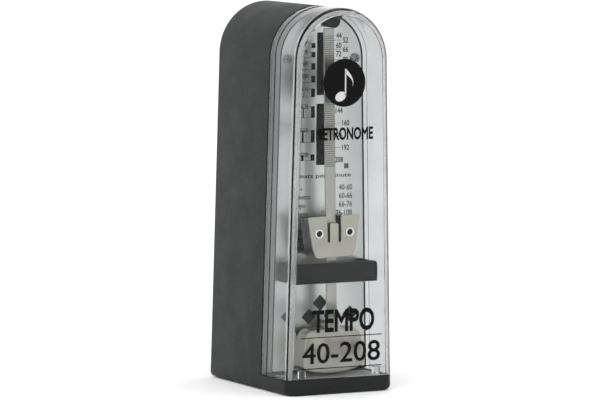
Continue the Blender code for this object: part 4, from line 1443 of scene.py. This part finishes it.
@dataclass
class Key:
    """The winding key on the right side: a stepped hub with a rounded wing."""

    shop: Workshop
    centre: tuple[float, float]
    outside: float

    def build(self) -> None:
        """Make the key as one piece of two shells, and dress its arbor."""
        paint = self.shop.palette
        surface = shift(joined([self.hub(), self.wing()]), 0.0, self.centre[0], self.centre[1])
        self.shop.add("key_wing", surface, paint.black, Body.KEY, "black_plastic", ["winding_key"])
        self.shop.dress(paint.steel, "barrel_arbor", "ratchet_wheel")

    def hub(self) -> Surface:
        """Return the hub, turned about x: a stem, and a stepped collar with rounded rims."""
        o = self.outside
        profile = np.vstack([
            [(2.3 * MM, 19.0 * MM), (3.2 * MM, 19.0 * MM), (3.2 * MM, o), (4.3 * MM, o)],
            arc((4.2 * MM, o + 0.4 * MM), 0.4 * MM, -90.0, 0.0, 4),
            arc((4.0 * MM, o + 3.2 * MM), 0.6 * MM, 0.0, 90.0, 4),
            [(3.4 * MM, o + 4.8 * MM), (0.0, o + 5.0 * MM), (0.0, o + 0.5 * MM), (2.3 * MM, o + 0.5 * MM)],
        ])
        return y_to_x(lathe(profile, 64, ring=True))

    def wing(self) -> Surface:
        """Return the wing: a long rounded bar that stands off the hub, with rounded rims."""
        outline = rounded_rectangle((-1.7 * MM, -9.0 * MM), (1.7 * MM, 9.0 * MM), 1.65 * MM)
        return y_to_x(slab(outline, self.outside + 3.6 * MM, self.outside + 9.3 * MM, 0.7 * MM, 5))


# ------------------------------------------------------------------ inside and underneath


@dataclass
class Works:
    """The movement and the underside, whose frame pieces keep their own shapes."""

    shop: Workshop

    def build(self) -> None:
        """Dress each group of frame nodes."""
        paint = self.shop.palette
        corners = [f"{end}_{side}" for end in ("front", "rear") for side in ("left", "right")]
        pillars = [f"movement_pillar_{number}" for number in range(1, 5)]
        self.shop.dress(paint.brass, "movement_plate_left", "movement_plate_right", *pillars,
                        "rear_bearing_bridge", "rear_bush", "escape_potence", "mainspring_barrel",
                        "barrel_cap", "intermediate_wheel", "escape_wheel")
        self.shop.dress(paint.steel, "click_pin", "click_spring", "click", "mainspring",
                        "intermediate_arbor", "intermediate_pinion", "escape_arbor", "escape_pinion",
                        *(f"base_screw_{corner}" for corner in corners))
        self.shop.dress(paint.plinth, "base_lid")
        self.shop.dress(paint.rubber, "base_pad", *(f"foot_{corner}" for corner in corners))


# ------------------------------------------------------------------ studio


@dataclass
class Studio:
    """A white room: a pale floor, a white surround, three soft lights and the camera."""

    camera_place: tuple[float, float, float] = (-0.8579, -1.5555, 0.2477)
    azimuth: float = math.radians(28.95)
    elevation: float = math.radians(-5.41)
    roll: float = 0.008359
    lens: float = 254.76
    shift: tuple[float, float] = (-0.0116, -0.0071)
    surround: float = 1.12
    aim: tuple[float, float, float] = (0.0, 0.0, 0.08)

    def build(self) -> None:
        """Make the room, the lights and the camera."""
        scene = bpy.context.scene
        scene.view_settings.view_transform = "Standard"
        self._world(scene)
        self._floor()
        self._light("key_light", (-0.9, -1.2, 1.1), (1.0, 1.0), 5.0)
        self._light("fill_light", (1.2, -0.9, 0.9), (1.2, 1.2), 2.0)
        self._light("top_light", (0.0, 0.1, 1.6), (1.4, 1.4), 3.0)
        self._camera(scene)

    def _world(self, scene: bpy.types.Scene) -> None:
        """Surround the scene with even white."""
        world = bpy.data.worlds.new("white_room")
        world.use_nodes = True
        background = world.node_tree.nodes["Background"]
        background.inputs["Color"].default_value = (1.0, 1.0, 1.0, 1.0)
        background.inputs["Strength"].default_value = self.surround
        scene.world = world

    def _floor(self) -> None:
        """Lay a wide pale floor."""
        nodes = Nodes("pale_floor")
        nodes.plug("Base Color", nodes.ramp(nodes.noise(3.0), (0.96, 0.96, 0.96), (0.98, 0.98, 0.98)))
        nodes.set(Roughness=0.9)
        half = 12.0
        mesh = bpy.data.meshes.new("floor")
        mesh.from_pydata([(-half, -half, 0.0), (half, -half, 0.0), (half, half, 0.0), (-half, half, 0.0)], [],
                         [(0, 1, 2, 3)])
        mesh.materials.append(nodes.material)
        floor = bpy.data.objects.new("floor", mesh)
        bpy.context.scene.collection.objects.link(floor)

    def _light(self, name: str, place: Sequence[float], size: Sequence[float], power: float) -> None:
        """Hang a rectangular soft light that faces the instrument."""
        light = bpy.data.lights.new(name, "AREA")
        light.shape = "RECTANGLE"
        light.size, light.size_y = size
        light.energy = power
        lamp = bpy.data.objects.new(name, light)
        lamp.location = place
        towards = Vector(self.aim) - Vector(place)
        lamp.rotation_euler = towards.to_track_quat("-Z", "Y").to_euler()
        bpy.context.scene.collection.objects.link(lamp)

    def _camera(self, scene: bpy.types.Scene) -> None:
        """Stand the camera at its place, turned to its azimuth, elevation and roll."""
        data = bpy.data.cameras.new("camera")
        data.lens = self.lens
        data.shift_x, data.shift_y = self.shift
        data.clip_start, data.clip_end = 0.05, 60.0
        camera = bpy.data.objects.new("camera", data)
        camera.location = self.camera_place
        camera.rotation_mode = "QUATERNION"
        flat = math.cos(self.elevation)
        forward = Vector((flat * math.sin(self.azimuth), flat * math.cos(self.azimuth),
                          math.sin(self.elevation)))
        right = forward.cross(Vector((0.0, 0.0, 1.0))).normalized()
        up = right.cross(forward)
        c, s = math.cos(self.roll), math.sin(self.roll)
        right, up = right * c + up * s, up * c - right * s
        turn = Matrix((right, up, -forward)).transposed()
        camera.rotation_quaternion = turn.to_quaternion()
        scene.collection.objects.link(camera)
        scene.camera = camera


# ------------------------------------------------------------------ assembly


def joint(frame: dict, name: str) -> dict:
    """Return a joint of the record by its name."""
    return next(item for item in frame["record"]["behaviour"]["joints"] if item["name"] == name)


def build(frame: dict) -> None:
    """Build the sub-assemblies round the frame, in order."""
    shop = Workshop(Palette(), frame)
    (_, case_front, foot), (_, case_back, height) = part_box("case_shell")
    cover_low, cover_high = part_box("cover")
    plate_low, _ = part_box("scale_plate")
    frame_low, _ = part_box("front_frame")
    shape = Outline(height=height, base_half=25.2 * MM)
    parting = cover_high[1] + 0.3 * MM
    swing_joint, slide_joint = joint(frame, "pendulum_swing"), joint(frame, "weight_slide")
    arbor_level = swing_joint["pos_m"][2]
    key_place = tuple(joint(frame, "key_turn")["pos_m"][1:])
    Case(shop, shape, parting, case_front, case_back, foot, 6.5 * MM, key_place).build()
    Cover(shop, shape, cover_low[1], cover_high[1], cover_low[2]).build()
    screws = [tuple(np.mean(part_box(f"plate_screw_{side}"), axis=0)[[0, 2]]) for side in ("left", "right")]
    FrontPanel(shop, shape, frame_low[1], frame_low[1] + 1.0 * MM, plate_low[1], frame_low[2] + 0.8 * MM,
               screws, arbor_level).build()
    pivot = Vector(swing_joint["pos_m"])
    swing = Swing(pivot, math.atan2(slide_joint["axis"][0], slide_joint["axis"][2]))
    Scale(shop, plate_low[1], pivot.z).build()
    Pendulum(shop, swing).build()
    Weight(shop, swing, 23.6 * MM).build()
    bridge_low, bridge_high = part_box("pivot_bridge")
    Bridge(shop, bridge_low[1], bridge_high[1], bridge_low[2], bridge_high[2], bridge_high[0],
           arbor_level).build()
    catch_low, catch_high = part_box("rod_catch")
    Catch(shop, catch_low[1], catch_high[1], catch_low[2], catch_high[2]).build()
    Key(shop, key_place, shape.half_width(key_place[1]) + 0.8 * MM).build()
    Works(shop).build()
    Studio().build()


def main() -> None:
    """Load the frame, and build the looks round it."""
    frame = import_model()
    build(frame)


if __name__ == "__main__":
    main()
